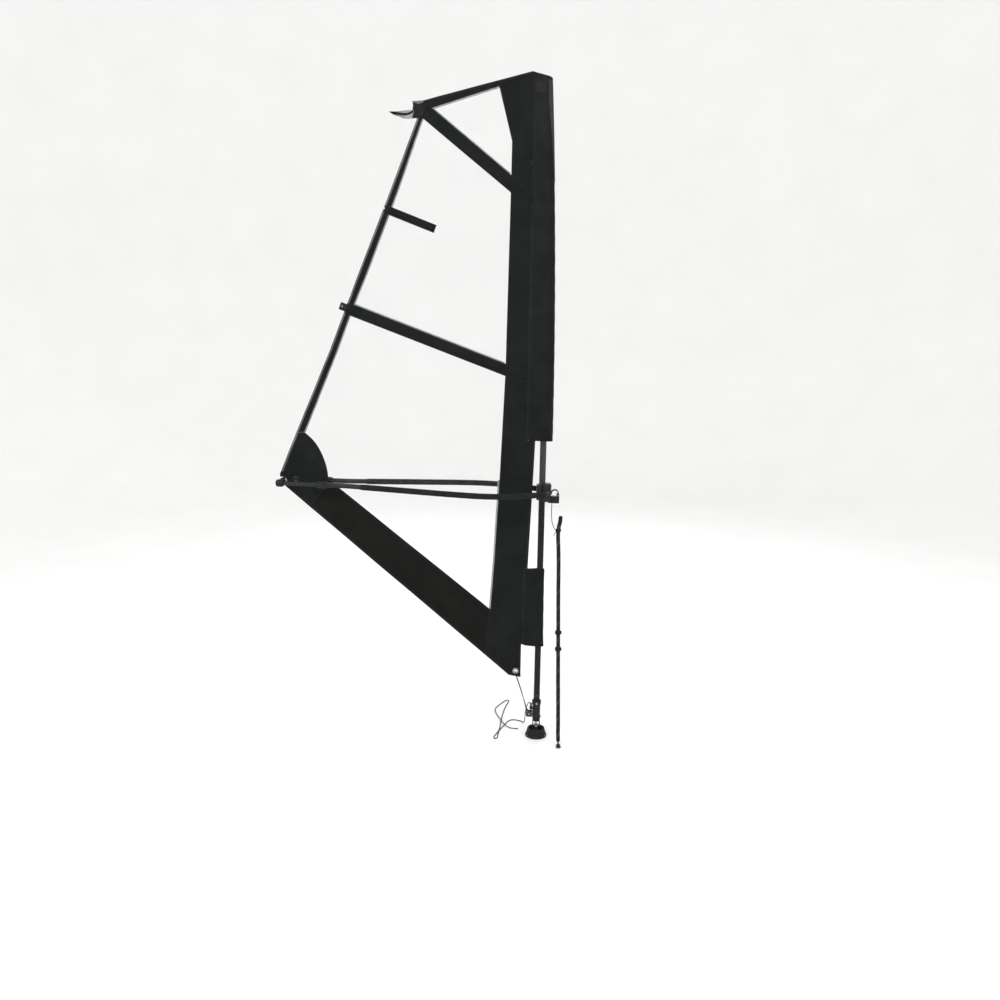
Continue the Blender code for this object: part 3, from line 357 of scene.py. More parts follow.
SAIL_BLACK = cloth("sailcloth", (0.0040, 0.0050, 0.0048), (0.0070, 0.0082, 0.0078), 0.015)
FOOT_BLACK = cloth("sailcloth_foot", (0.0032, 0.0034, 0.0030), (0.0056, 0.0058, 0.0050), 0.010)
TAPE_BLACK = cloth("seam_tape", (0.0060, 0.0070, 0.0069), (0.0100, 0.0115, 0.0112), 0.03, 0.0011)
EDGE_GREY = cloth("edge_binding", (0.085, 0.090, 0.088), (0.150, 0.158, 0.155), 0.05, 0.0011)
# painted highlight: this grey on the strip round the upper sleeve's front stands in for the light that its round
# front catches
SLEEVE_HIGHLIGHT_GREY = cloth("painted_highlight_strip", (0.021, 0.023, 0.022), (0.036, 0.039, 0.037), 0.03, 0.0011)
WEBBING = cloth("webbing", (0.0088, 0.0094, 0.0090), (0.0112, 0.0119, 0.0113), 0.05, 0.0024)
THREAD = fibre("thread", (0.046, 0.050, 0.049))
FILM = film()
FILM_EDGE = film_edge()
PLASTIC = plastic("black_plastic", (0.0070, 0.0074, 0.0076), (0.0130, 0.0136, 0.0140), 0.42)
RUBBER = plastic("rubber", (0.0085, 0.0085, 0.0088), (0.0150, 0.0150, 0.0156), 0.70)
STEEL = metal("stainless", (0.26, 0.26, 0.255), (0.40, 0.40, 0.39), 0.24, (1, 1, 0.2))
DARK_ALLOY = metal("alloy_dark", (0.030, 0.031, 0.033), (0.055, 0.057, 0.060), 0.36, (1, 1, 0.2))
ALLOY = metal("alloy", (0.24, 0.25, 0.26), (0.36, 0.37, 0.38), 0.32, (1, 1, 0.05))
BATTEN_WHITE = plastic("batten", (0.46, 0.47, 0.43), (0.60, 0.61, 0.56), 0.38)
BOOM_SKIN = boom_skin()
MAST_SKIN = mast_skin()
FOAM = foam()
ROPE_DARK = fibre("rope_dark", (0.0042, 0.0060, 0.0078))
ROPE_BLUE = fibre("rope_blue", (0.007, 0.019, 0.034))
ROPE_PALE = fibre("rope_pale", (0.070, 0.082, 0.088))
ROPE = [ROPE_DARK, ROPE_BLUE, ROPE_PALE]


# ---------------------------------------------------------------- mesh helpers
def piece(name, verts, faces, mats, slot, body="rig", stands_for=(), matrix=None, sharp=40.0, face_mats=None):
    """Make a mesh, let it ride on its body and hide the frame nodes that it stands for."""
    mesh = bpy.data.meshes.new(name)
    mesh.from_pydata([tuple(v) for v in verts], [], [tuple(f) for f in faces])
    for mat in mats if isinstance(mats, list) else [mats]:
        mesh.materials.append(mat)
    if face_mats is not None:
        mesh.polygons.foreach_set("material_index", np.asarray(face_mats, np.int32))
    if matrix is not None:
        mesh.transform(matrix)
    bm = bmesh.new()
    bm.from_mesh(mesh)
    bmesh.ops.recalc_face_normals(bm, faces=bm.faces)
    bm.to_mesh(mesh)
    bm.free()
    mesh.shade_smooth()
    mesh.set_sharp_from_angle(angle=math.radians(sharp))
    obj = bpy.data.objects.new(name, mesh)
    bpy.context.scene.collection.objects.link(obj)
    if body:
        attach(obj, body)
    if stands_for:
        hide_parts(*([stands_for] if isinstance(stands_for, str) else stands_for))
    return obj


def rows_of(rows, count, start=0):
    """The vertex numbers of rows of points that follow one another."""
    return [range(start + i * count, start + (i + 1) * count) for i in range(rows)]


def bridge(low, high, closed=True):
    """Quads between two rows of vertex numbers. The rows are rings unless closed is False."""
    count = len(low)
    return [(low[k], low[(k + 1) % count], high[(k + 1) % count], high[k])
            for k in range(count if closed else count - 1)]


def wall(rings, closed=True):
    """Quads between each row of vertex numbers and the next."""
    return [face for low, high in zip(rings, rings[1:]) for face in bridge(low, high, closed)]


def capped(rings):
    """A wall round rings of vertex numbers, with both of its ends filled."""
    return wall(rings) + [tuple(rings[0]), tuple(rings[-1])]


def plate_faces(rows, count):
    """A thin plate's faces: two grids of the same size, one behind the other, joined round their rim."""
    layer = rows * count
    faces = wall(rows_of(rows, count), False) + wall(rows_of(rows, count, layer), False)
    rim = list(range(count)) + [i * count + count - 1 for i in range(1, rows)]
    rim += [layer - count + k for k in range(count - 2, -1, -1)] + [i * count for i in range(rows - 2, 0, -1)]
    return faces + [(a, b, b + layer, a + layer) for a, b in zip(rim, rim[1:] + rim[:1])]


def joined(parts):
    """Join (verts, faces) pairs into one pair."""
    verts, faces = [], []
    for more_verts, more_faces in parts:
        start = len(verts)
        verts += [tuple(v) for v in more_verts]
        faces += [tuple(i + start for i in f) for f in more_faces]
    return verts, faces


def placed(part, matrix):
    """A (verts, faces) pair moved by a matrix."""
    verts, faces = part
    return [tuple(matrix @ Vector(v)) for v in verts], faces


def moved(part, x, y, z):
    """A (verts, faces) pair moved by a step."""
    return placed(part, Matrix.Translation((x, y, z)))


def turned(profile, sides=48, axis="Z", closed=True):
    """Turn a profile of (radius, height) round an axis."""
    rings, verts, faces = [], [], []
    for radius, height in profile:
        count = 1 if radius == 0.0 else sides
        rings.append(list(range(len(verts), len(verts) + count)))
        for k in range(count):
            angle = math.tau * k / sides
            across, up = radius * math.cos(angle), radius * math.sin(angle)
            place = {"Z": (across, up, height), "X": (height, across, up), "Y": (up, height, across)}
            verts.append(place[axis])
    pairs = list(zip(rings, rings[1:])) + ([(rings[-1], rings[0])] if closed else [])
    for low, high in pairs:
        for k in range(sides):
            n = k + 1
            corners = [low[k % len(low)], low[n % len(low)], high[n % len(high)], high[k % len(high)]]
            unique = list(dict.fromkeys(corners))
            if len(unique) > 2:
                faces.append(unique)
    return verts, faces


def mirrored(half, *middle):
    """A profile of (radius, height) that is the same above and below height 0, from its lower half."""
    return [*half, *middle, *[(radius, -height) for radius, height in reversed(half)]]


def soft_box(low, high, bevel, segments=3):
    """A box with rounded edges."""
    bm = bmesh.new()
    bmesh.ops.create_cube(bm, size=1.0)
    bmesh.ops.scale(bm, verts=bm.verts, vec=Vector(high) - Vector(low))
    bmesh.ops.translate(bm, verts=bm.verts, vec=(Vector(high) + Vector(low)) / 2)
    bmesh.ops.bevel(bm, geom=list(bm.edges), offset=bevel, segments=segments, profile=0.5, affect="EDGES",
                    clamp_overlap=True)
    bm.verts.index_update()
    part = [tuple(v.co) for v in bm.verts], [[v.index for v in f.verts] for f in bm.faces]
    bm.free()
    return part


def smooth_route(points, spacing):
    """Points at an even spacing on one smooth curve through the given points."""
    route = [Vector(p) for p in points]
    padded = [route[0] * 2 - route[1]] + route + [route[-1] * 2 - route[-2]]
    fine, steps = [], 40
    for i in range(len(route) - 1):
        a, b, c, d = padded[i:i + 4]
        for k in range(steps):
            t = k / steps
            fine.append(0.5 * (2 * b + (c - a) * t + (2 * a - 5 * b + 4 * c - d) * t ** 2
                               + (3 * b - a - 3 * c + d) * t ** 3))
    fine.append(route[-1])
    line = np.array([tuple(p) for p in fine])
    return spaced(line, spacing)


def spaced(line, spacing):
    """The same line with its points at an even spacing."""
    line = np.asarray(line, float)
    along = np.concatenate([[0], np.cumsum(np.linalg.norm(np.diff(line, axis=0), axis=1))])
    at = np.linspace(0, along[-1], max(2, round(along[-1] / spacing) + 1))
    return np.stack([np.interp(at, along, line[:, k]) for k in range(line.shape[1])], axis=1)


def length_of(line):
    """The length of a line of points."""
    return float(np.linalg.norm(np.diff(np.asarray(line, float), axis=0), axis=1).sum())


def frames_along(line):
    """Two directions across a line at each of its points, carried along without twisting."""
    tangents = unit(np.gradient(line, axis=0))
    side = np.cross(tangents[0], (0.0, 0.0, 1.0))
    if np.linalg.norm(side) < 0.1:
        side = np.cross(tangents[0], (1.0, 0.0, 0.0))
    frames = []
    for tangent in tangents:
        side = side - tangent * side.dot(tangent)
        side /= np.linalg.norm(side)
        frames.append((side, np.cross(tangent, side)))
    return frames


def swept(line, radii, sides):
    """A tube along a line. radii is one number, or one for each point."""
    line = np.asarray(line, float)
    angles = np.arange(sides) * math.tau / sides
    radii = np.broadcast_to(np.asarray(radii, float), (len(line),))
    verts = []
    for here, radius, (side, other) in zip(line, radii, frames_along(line)):
        verts += (here + radius * (np.cos(angles)[:, None] * side + np.sin(angles)[:, None] * other)).tolist()
    return verts, capped(rows_of(len(line), sides))


def braid(points, radius, strands, flecks, fine=4):
    """A braided line: diamonds of yarn that cross over and under, and which yarn each one belongs to."""
    around = strands * fine
    line = smooth_route(points, 0.62 * math.tau * radius / around)
    rows = len(line)
    row = np.arange(rows)[:, None]
    turn = np.arange(around)[None, :] + 0.5 * (row % 2)
    one, two = row / 2 + turn, row / 2 - turn
    wave_one, wave_two = np.sin(np.pi * one / fine), np.sin(np.pi * two / fine)
    over = 0.5 + 0.5 * wave_one * wave_two
    height = over * np.abs(wave_one) + (1 - over) * np.abs(wave_two)
    ends = np.clip(np.minimum(row, row[::-1]) / 6.0, 0, 1)
    radii = radius * (0.84 + 0.16 * height) * (0.55 + 0.45 * np.sqrt(ends))
    angles = turn * math.tau / around
    verts = []
    for k, (side, other) in enumerate(frames_along(line)):
        ring = np.cos(angles[k])[:, None] * side + np.sin(angles[k])[:, None] * other
        verts += (line[k] + radii[k][:, None] * ring).tolist()
    faces, yarns = [], []
    for r in range(rows - 2):
        for k in range(around):
            right = k if r % 2 == 0 else (k + 1) % around
            left = (k - 1) % around if r % 2 == 0 else k
            below, here, above = (place * around for place in (r, r + 1, r + 2))
            faces.append((below + k, here + right, above + k, here + left))
            cells = int(round(one[r, k])) // fine, int(round(two[r, k])) // fine
            yarn = cells[0] % strands if sum(cells) % 2 == 0 else strands + cells[1] % strands
            yarns.append(flecks.get(yarn, 0))
    for low, high in ((0, 1), (rows - 1, rows - 2)):
        for k in range(around):
            n = (k + 1) % around
            faces.append((low * around + k, low * around + n, high * around + (k if low % 2 == 0 else n)))
        faces.append(tuple(range(low * around, (low + 1) * around)))
        yarns += [0] * (around + 1)
    return verts, faces, yarns, line


def slab(outline, near, far, edge, axis="Y"):
    """A plate cut to an outline of (across, up) points, between two places along an axis, edges eased."""
    inner = grown(outline, -edge)
    rings = [(inner, near), (outline, near + edge), (outline, far - edge), (inner, far)]
    verts = [(a, place, b) if axis == "Y" else (place, a, b) for ring, place in rings for a, b in ring]
    return verts, capped(rows_of(len(rings), len(outline)))


def arc(middle, radius, start, end, steps):
    """Points on an arc, with its angles in degrees."""
    return [(middle[0] + radius * math.cos(a), middle[1] + radius * math.sin(a))
            for a in (math.radians(degrees) for degrees in np.linspace(start, end, steps))]


def dress(node, mat, bevel=0.0004):
    """Give a frame node its material, with smooth round faces and softened edges."""
    obj = NODES[node]
    mesh = obj.data
    mesh.materials.clear()
    mesh.materials.append(mat)
    for name in ("custom_normal", "sharp_edge"):
        if name in mesh.attributes:
            mesh.attributes.remove(mesh.attributes[name])
    mesh.shade_smooth()
    weld = obj.modifiers.new("weld", "WELD")
    weld.merge_threshold = 0.00001
    soft = obj.modifiers.new("soft_edges", "BEVEL")
    soft.width = bevel
    soft.segments = 3
    soft.limit_method = "ANGLE"
    soft.angle_limit = math.radians(32)
    soft.harden_normals = True


# ---------------------------------------------------------------- the sail's surface
def sail_y(x, z):
    """How far the sail's middle surface stands off its plane: soft waves, and creases from the corners."""
    x, z = np.asarray(x, float), np.asarray(z, float)
    free = np.clip((SEAM_X - x) / 0.16, 0, 1) ** 1.5
    y = free * (0.0017 * np.sin(5.1 * x + 3.7 * z + 0.4) + 0.0012 * np.sin(9.2 * z - 7.9 * x + 1.9)
                + 0.0005 * np.sin(23 * x + 19 * z))
    for (cx, cz), count, reach in ((TACK, 11, 0.34), (CLEW, 13, 0.36), (PEAK, 9, 0.22)):
        far = np.hypot(x - cx, z - cz)
        y += 0.0011 * np.sin(count * np.arctan2(z - cz, x - cx)) * np.exp(-(far / reach) ** 2)
    for cx, cz in (TACK, CLEW, CLEW_END):
        y *= np.clip((np.hypot(x - cx, z - cz) - 0.018) / 0.09, 0, 1)
    return y


def outlines(node):
    """The closed outlines of a flat panel of the frame, as (x, z) points, the longest first."""
    mesh = NODES[node].data
    keys = [(round(v.co.x, 5), round(v.co.z, 5)) for v in mesh.vertices]
    steps = set()
    for face in mesh.polygons:
        if face.normal.y < -0.99:
            ring = [keys[i] for i in face.vertices]
            steps |= set(zip(ring, ring[1:] + ring[:1]))
    border = {a: b for a, b in steps if (b, a) not in steps}
    loops = []
    while border:
        start, here = border.popitem()
        loop = [start]
        while here != start:
            loop.append(here)
            here = border.pop(here)
        loops.append(loop)
    return sorted(loops, key=lambda loop: -length_of(loop + loop[:1]))


def unit(vectors):
    """Each row scaled to length one."""
    return vectors / np.linalg.norm(vectors, axis=1)[:, None]


def signed_area(points):
    """The area inside an outline, negative when it runs clockwise."""
    return (points[:, 0] * np.roll(points[:, 1], -1) - np.roll(points[:, 0], -1) * points[:, 1]).sum() / 2


def across(line):
    """The directions along a flat path and across it at each of its points."""
    tangents = unit(np.gradient(line, axis=0))
    return tangents, np.stack([-tangents[:, 1], tangents[:, 0]], 1)


def grown(outline, distance):
    """An outline moved outwards by the same distance all round."""
    points = np.array(outline)
    before = points - np.roll(points, 1, axis=0)
    after = np.roll(points, -1, axis=0) - points
    side = math.copysign(1.0, signed_area(points))
    before, after = unit(before), unit(after)
    out_a = np.stack([after[:, 1], -after[:, 0]], 1) * side
    out_b = np.stack([before[:, 1], -before[:, 0]], 1) * side
    middle = unit(out_a + out_b)
    reach = np.clip(1 / (middle * out_a).sum(1), 1, 2.5)
    return (points + middle * reach[:, None] * distance).tolist()


def divided(outline, cell):
    """A closed outline with points added along its long edges, and all of its corners kept."""
    points = []
    for a, b in zip(outline, outline[1:] + outline[:1]):
        a, b = np.array(a), np.array(b)
        count = max(1, round(float(np.linalg.norm(b - a)) / cell))
        points += [tuple(a + (b - a) * k / count) for k in range(count)]
    return points


def lapped(outline, distance):
    """A panel's outline moved out under its neighbours, but not past the sail's free edges."""
    fine = divided([tuple(p) for p in outline], 0.012)
    moved = np.array(grown(fine, distance))
    free = np.minimum.reduce([from_path(fine, path) for path in FREE_EDGES])
    share = np.clip(free / distance, 0, 1)[:, None]
    return (np.array(fine) * (1 - share) + moved * share).tolist()


def from_path(points, path):
    """How far each point is from an open path."""
    points, line = np.asarray(points, float), np.asarray(path, float)
    best = np.full(len(points), 9.0)
    for a, b in zip(line, line[1:]):
        step = b - a
        t = np.clip(((points - a) @ step) / max(step @ step, 1e-12), 0, 1)
        best = np.minimum(best, np.linalg.norm(points - a - t[:, None] * step, axis=1))
    return best


def inside(points, outline):
    """Which points lie inside an outline."""
    points, ring = np.asarray(points), np.asarray(outline)
    hit = np.zeros(len(points), bool)
    for (x0, z0), (x1, z1) in zip(ring, np.roll(ring, -1, axis=0)):
        if z0 != z1:
            crosses = ((z0 > points[:, 1]) != (z1 > points[:, 1])) & (
                points[:, 0] < (x1 - x0) * (points[:, 1] - z0) / (z1 - z0) + x0)
            hit ^= crosses
    return hit


def from_border(points, outline):
    """How far each point is from an outline."""
    ring = [tuple(p) for p in outline]
    return from_path(points, ring + ring[:1])


def panel(name, outline, half, mat, slot, stands_for=(), holes=(), cell=0.013, body="rig", shift=0.0):
    """A cloth or film panel: an outline filled with small even triangles that follow the sail's surface."""
    loops = [np.array(divided([tuple(p) for p in loop], cell)) for loop in [outline, *holes]]
    low, high = loops[0].min(0), loops[0].max(0)
    row_height = 0.866 * cell
    rows = np.arange(low[1], high[1], row_height)
    lattice = np.array([(x + (r % 2) * cell / 2, z) for r, z in enumerate(rows)
                        for x in np.arange(low[0], high[0], cell)])
    keep = inside(lattice, loops[0]) & (from_border(lattice, loops[0]) > 0.45 * cell)
    for loop in loops[1:]:
        keep &= ~inside(lattice, loop) & (from_border(lattice, loop) > 0.45 * cell)
    points, edges = [], []
    for loop in loops:
        start = len(points)
        points += [Vector(p) for p in loop]
        edges += [(start + i, start + (i + 1) % len(loop)) for i in range(len(loop))]
    points += [Vector(p) for p in lattice[keep]]
    flat, _, triangles, _, _, _ = delaunay_2d_cdt(points, edges, [], 1, 1e-7)
    flat = np.array([tuple(p) for p in flat])
    middles = np.array([flat[list(t)].mean(0) for t in triangles])
    good = inside(middles, loops[0])
    for loop in loops[1:]:
        good &= ~inside(middles, loop)
    triangles = [tuple(t) for t, g in zip(triangles, good) if g]
    y = sail_y(flat[:, 0], flat[:, 1]) + shift
    verts = [(x, v + out, z) for out in (-half, half) for (x, z), v in zip(flat, y)]
    count = len(flat)
    steps = {(t[i], t[(i + 1) % 3]) for t in triangles for i in range(3)}
    border = [(a, b) for a, b in steps if (b, a) not in steps]
    faces = triangles + [tuple(i + count for i in reversed(t)) for t in triangles]
    faces += [(b, a, a + count, b + count) for a, b in sorted(border)]
    used = sorted({i for f in faces for i in f})
    index = {old: new for new, old in enumerate(used)}
    faces = [tuple(index[i] for i in f) for f in faces]
    return piece(name, [verts[i] for i in used], faces, mat, slot, body, stands_for)


def flat_size(outline):
    """The width and length of the smallest turned rectangle round an outline, and the outline's area."""
    points = np.array(outline)
    best = None
    for degrees in range(0, 180):
        a = math.radians(degrees)
        turned_points = points @ np.array([[math.cos(a), -math.sin(a)], [math.sin(a), math.cos(a)]])
        size = turned_points.max(0) - turned_points.min(0)
        if best is None or size.prod() < best.prod():
            best = size
    return (float(best.min()), float(best.max())), float(abs(signed_area(points)))


def ribbon(path, section, scale=None):
    """Sweep a closed section of (across, out) points along a path of (x, z) points on the sail."""
    line = np.asarray(path, float)
    _, normals = across(line)
    scale = np.ones(len(line)) if scale is None else scale
    verts = []
    for here, normal, size in zip(line, normals, scale):
        for beside, out in section:
            x, z = here + normal * beside * size
            verts.append((x, float(sail_y(x, z)) + out, z))
    return verts, capped(rows_of(len(line), len(section)))


def tape_section(width, half, crown=0.0003):
    """A tape folded round both faces, slightly thicker in its middle."""
    w = width / 2
    front = [(-w, -half), (-w / 2, -half - crown), (0, -half - crown * 1.3), (w / 2, -half - crown),
             (w, -half)]
    return front + [(a, -b) for a, b in reversed(front)]


def stitch_row(path, offset, out, pitch=0.0062, swing=38.0):
    """A row of zigzag stitches beside a path, as small lozenges just above the cloth."""
    line = spaced(path, pitch)
    tangents, normals = across(line)
    line = line + normals * offset
    verts, faces = [], []
    for k, (here, tangent) in enumerate(zip(line, tangents)):
        lean = math.radians(swing if k % 2 else -swing)
        way = np.array([tangent[0] * math.cos(lean) - tangent[1] * math.sin(lean),
                        tangent[0] * math.sin(lean) + tangent[1] * math.cos(lean)])
        side = np.array([-way[1], way[0]]) * STITCH_HALF_WIDTH
        way *= STITCH_HALF_LENGTH
        y = float(sail_y(*here)) + out
        start = len(verts)
        verts += [(x, y, z) for x, z in (here + way, here + side, here - way, here - side)]
        verts += [(here[0], y - STITCH_HALF_DEPTH, here[1]), (here[0], y + STITCH_HALF_DEPTH, here[1])]
        for n in range(4):
            m = (n + 1) % 4
            faces += [(start + n, start + m, start + 4), (start + m, start + n, start + 5)]
    return verts, faces


def both_faces(path, offset, out, **more):
    """Stitches that show on both faces of the sail."""
    return [stitch_row(path, offset, -out, **more), stitch_row(path, offset, out, **more)]


def rounded(path):
    """A smooth curve through the corners of a path of (x, z) points."""
    return [(x, z) for x, _, z in smooth_route([(x, 0.0, z) for x, z in path], 0.009).tolist()]


def part_of(outline, start, end):
    """The stretch of an outline between the corners nearest to two points, the shorter way round."""
    ring = [tuple(p) for p in outline]
    i, j = nearest(ring, start), nearest(ring, end)
    ahead = [ring[(i + k) % len(ring)] for k in range((j - i) % len(ring) + 1)]
    back = [ring[(i - k) % len(ring)] for k in range((i - j) % len(ring) + 1)]
    return ahead if length_of(ahead) < length_of(back) else back


def nearest(outline, place):
    """The number of the outline's corner that lies nearest to a place."""
    return min(range(len(outline)), key=lambda k: math.dist(outline[k], place))


def whole_clew(frame_outline):
    """The clew patch with its curved edge made smooth, and closed round the boom's tail end."""
    first = nearest(frame_outline, FOOT_REAR)
    kept = [p for p in frame_outline[first:] + frame_outline[:first] if p[0] > -1.290]
    last = nearest(kept, LEECH_WINDOW_FOOT)
    closing = [(-1.3447, 1.4251), (-1.3512, 1.4100), (-1.3512, 1.3945), (-1.3180, 1.3935), (-1.3180, 1.3528),
               (-1.3310, 1.3522)]
    return kept[:1] + rounded(kept[1:last + 1]) + kept[last + 1:] + closing


# each panel's outlines: the outer one and then its holes
OUTLINE = {name: outlines(name) for name in (
    "luff_panel", "head_strip", "leech_tape", "clew_patch", "foot_panel", "window_head", "window_upper",
    "window_main")}
OUTLINE["clew_patch"][0] = whole_clew(OUTLINE["clew_patch"][0])
# each hem's panel, its two ends and its width
HEMS = {
    "head_hem": ("head_strip", HEAD_REAR, PEAK_TOP, 0.010),
    "leech_hem": ("leech_tape", LEECH_TOP, LEECH_FOOT, 0.009),
    "clew_hem": ("clew_patch", LEECH_FOOT, CLEW_REAR, 0.010),
    "foot_hem": ("foot_panel", FOOT_REAR, FOOT_FRONT, 0.011),
    "clew_foot_hem": ("clew_patch", CLEW_BOTTOM, FOOT_REAR, 0.011),
    "tack_hem": ("luff_panel", FOOT_FRONT, TACK_BOTTOM, 0.011),
    "tack_front_hem": ("luff_panel", TACK_FRONT, TACK_TOP, 0.009),
    "tack_foot_hem": ("luff_panel", TACK_BOTTOM, TACK_FRONT, 0.009),
    "cutout_hem": ("luff_panel", (-0.065, 0.930), (-0.041, 1.6015), 0.012),
    "head_top_hem": ("luff_panel", HEAD_FRONT, HEAD_REAR, 0.010),
}
FREE_EDGES = [part_of(OUTLINE[name][0], start, end) for name, start, end, _ in HEMS.values()]


# ---------------------------------------------------------------- sail pieces
def make_panels():
    """The cloth panels and the film windows, each cut from its own outline."""
    sheets = [("luff_panel", SAIL_BLACK, CLOTH_HALF, 0.0, 0.013),
              ("clew_patch", SAIL_BLACK, CLOTH_HALF, 0.0, 0.011),
              ("foot_panel", FOOT_BLACK, 0.00065, 0.010, 0.014),
              ("head_strip", SAIL_BLACK, 0.00075, 0.004, 0.011),
              ("leech_tape", SAIL_BLACK, 0.00075, 0.0, 0.011),
              ("window_head", FILM, FILM_HALF, 0.010, 0.024),
              ("window_upper", FILM, FILM_HALF, 0.010, 0.024),
              ("window_main", FILM, FILM_HALF, 0.010, 0.026)]
    for name, mat, half, lap, cell in sheets:
        outer, *holes = OUTLINE[name]
        outline = lapped(outer, lap) if lap else outer
        slot = "window_film" if mat is FILM else "sailcloth"
        made = panel(f"{name}_skin", outline, half, mat, slot, name, holes, cell)
        size, area = flat_size(outline)


def sleeve_section(front, radius, steps=26):
    """The luff sleeve's outline at one height: a round front that narrows to the seam, as (x, y) points."""
    centre = front - radius
    tail = SEAM_X + 0.0006
    start = math.pi - math.acos(radius / (centre - tail))
    ring = [(centre + radius * math.cos(a), radius * math.sin(a))
            for a in np.linspace(-start, start, steps)]
    top = ring[-1]
    flank = [(top[0] + (tail - top[0]) * t, top[1] + (0.0012 - top[1]) * t) for t in np.linspace(0.12, 1, 8)]
    return ring + flank + [(x, -y) for x, y in reversed(flank)]


def head_slope(x, z):
    """How far the upper sleeve's sloping head lifts or lowers a point near its top."""
    return float(np.clip((z - 3.10) / 0.25, 0, 1)) * (0.0167 - 0.3215 * (x + 0.096))


def pucker(x, y, z, around):
    """How far a sleeve's cloth swells out: small gathers near the seam and soft waves round the mast."""
    loose = math.exp(-((x - SEAM_X) / 0.034) ** 2) * abs(y) / 0.02
    swell = 0.0013 * loose * math.sin(z * 148 + 2 * math.sin(z * 17))
    swell += 0.0009 * math.sin(z * 31 + 3 * around + math.sin(z * 7.3)) * abs(y) / 0.02
    return swell + 0.0005 * math.sin(z * 67 - 5 * around)


def sleeve(name, low, high, shape):
    """A luff sleeve: a thin cloth tube with small puckers, hemmed at its ends."""
    heights = np.arange(low, high + 0.004, 0.011)
    heights[-1] = high
    shells = []
    for depth in (0.0, 0.0011):
        shell = []
        for z in heights:
            front, radius = shape(z)
            ring = sleeve_section(front, radius)
            end = min(z - low, high - z)
            hem = 0.0007 if end < 0.016 else 0.0
            points = []
            for k, (x, y) in enumerate(ring):
                grow = (hem if depth == 0.0 else 0.0) - depth + pucker(x, y, z, math.tau * k / len(ring))
                away = Vector((x - (front - radius), y)) if x > front - radius else Vector((0, y))
                step = away.normalized() * grow if away.length > 1e-6 else Vector((0, 0))
                if x < SEAM_X + 0.004:
                    step *= 0.2
                points.append((x + step.x, y + step.y, z + head_slope(x, z)))
            shell.append(points)
        shells.append(shell)
    count = len(shells[0][0])
    verts = [p for shell in shells for ring in shell for p in ring]
    outer = rows_of(len(heights), count)
    inner = rows_of(len(heights), count, len(heights) * count)
    faces = wall(outer) + wall(inner) + bridge(outer[0], inner[0]) + bridge(outer[-1], inner[-1])
    made = piece(f"{name}_skin", verts, faces, SAIL_BLACK, "sailcloth", stands_for=name)


def upper_sleeve(z):
    """Front edge and front radius of the upper sleeve at a height."""
    share = (z - UPPER_SLEEVE[0]) / (UPPER_SLEEVE[1] - UPPER_SLEEVE[0])
    return 0.0475 - 0.0485 * share ** 2, 0.0262 - 0.0092 * share


def lower_sleeve(z):
    """Front edge and front radius of the lower sleeve at a height."""
    share = (z - LOWER_SLEEVE[0]) / (LOWER_SLEEVE[1] - LOWER_SLEEVE[0])
    return 0.0280 - 0.0055 * share ** 0.6, 0.0220 - 0.0006 * share


def make_sleeves():
    """The two sleeves, the upper one's cap and its grey front strip of painted highlight, and the seam that joins
    them to the sail.
    """
    sleeve("luff_sleeve_upper", *UPPER_SLEEVE, upper_sleeve)
    sleeve("luff_sleeve_lower", *LOWER_SLEEVE, lower_sleeve)
    make_head_cap()
    make_front_strip()
    rows, tapes = [], []
    for low, high in ((LOWER_SLEEVE[0] + 0.004, LOWER_SLEEVE[1] - 0.003),
                      (UPPER_SLEEVE[0] + 0.0035, UPPER_SLEEVE[1] + 0.002)):
        path = spaced([(SEAM_X, low), (SEAM_X, high)], 0.02)
        tapes.append(ribbon(path, tape_section(0.022, 0.0016)))
        for offset in (-0.007, 0.007):
            rows += both_faces(path[1:-1], offset, 0.0023)
    piece("luff_seam_tape", *joined(tapes), TAPE_BLACK, "sailcloth")
    piece("luff_seam_stitching", *joined(rows), THREAD, "webbing")


def make_head_cap():
    """The cloth cap that closes the upper sleeve over the top of the mast."""
    front, radius = upper_sleeve(UPPER_SLEEVE[1])
    ring = sleeve_section(front, radius)
    middle = front - radius - 0.014
    verts = []
    for shrink, z in ((1.03, 3.3320), (1.05, 3.3460), (1.01, 3.3510), (0.62, 3.3528), (0.0, 3.3530)):
        here = [(middle + (x - middle) * shrink, y * shrink) for x, y in (ring if shrink else ring[:1])]
        verts += [(x, y, z + head_slope(x, z)) for x, y in here]
    count = len(ring)
    rings = rows_of(4, count)
    fan = [(rings[-1][k], rings[-1][(k + 1) % count], 4 * count) for k in range(count)]
    piece("head_cap", verts, wall(rings) + fan + [tuple(rings[0])], TAPE_BLACK, "sailcloth",
          stands_for="mast_plug")


def make_front_strip():
    """A grey strip round the front of the upper sleeve, widest at the head: a painted highlight where the sleeve's
    round front catches the light.
    """
    low, high = 2.865, 3.336
    heights = np.linspace(low, high, 44)
    steps, verts = 20, []
    for out in (0.0017, 0.0002):
        for z in heights:
            front, radius = upper_sleeve(z)
            wide = 0.003 + 0.022 * (z - low) / (high - low)
            reach = min(math.acos(max(1 - wide / radius, -0.22)), 1.76)
            for a in np.linspace(-reach, reach, steps):
                x = front - radius + (radius + out) * math.cos(a)
                verts.append((x, (radius + out) * math.sin(a), z + head_slope(x, z)))
    piece("sleeve_front_strip", verts, plate_faces(len(heights), steps), SLEEVE_HIGHLIGHT_GREY, "sailcloth")


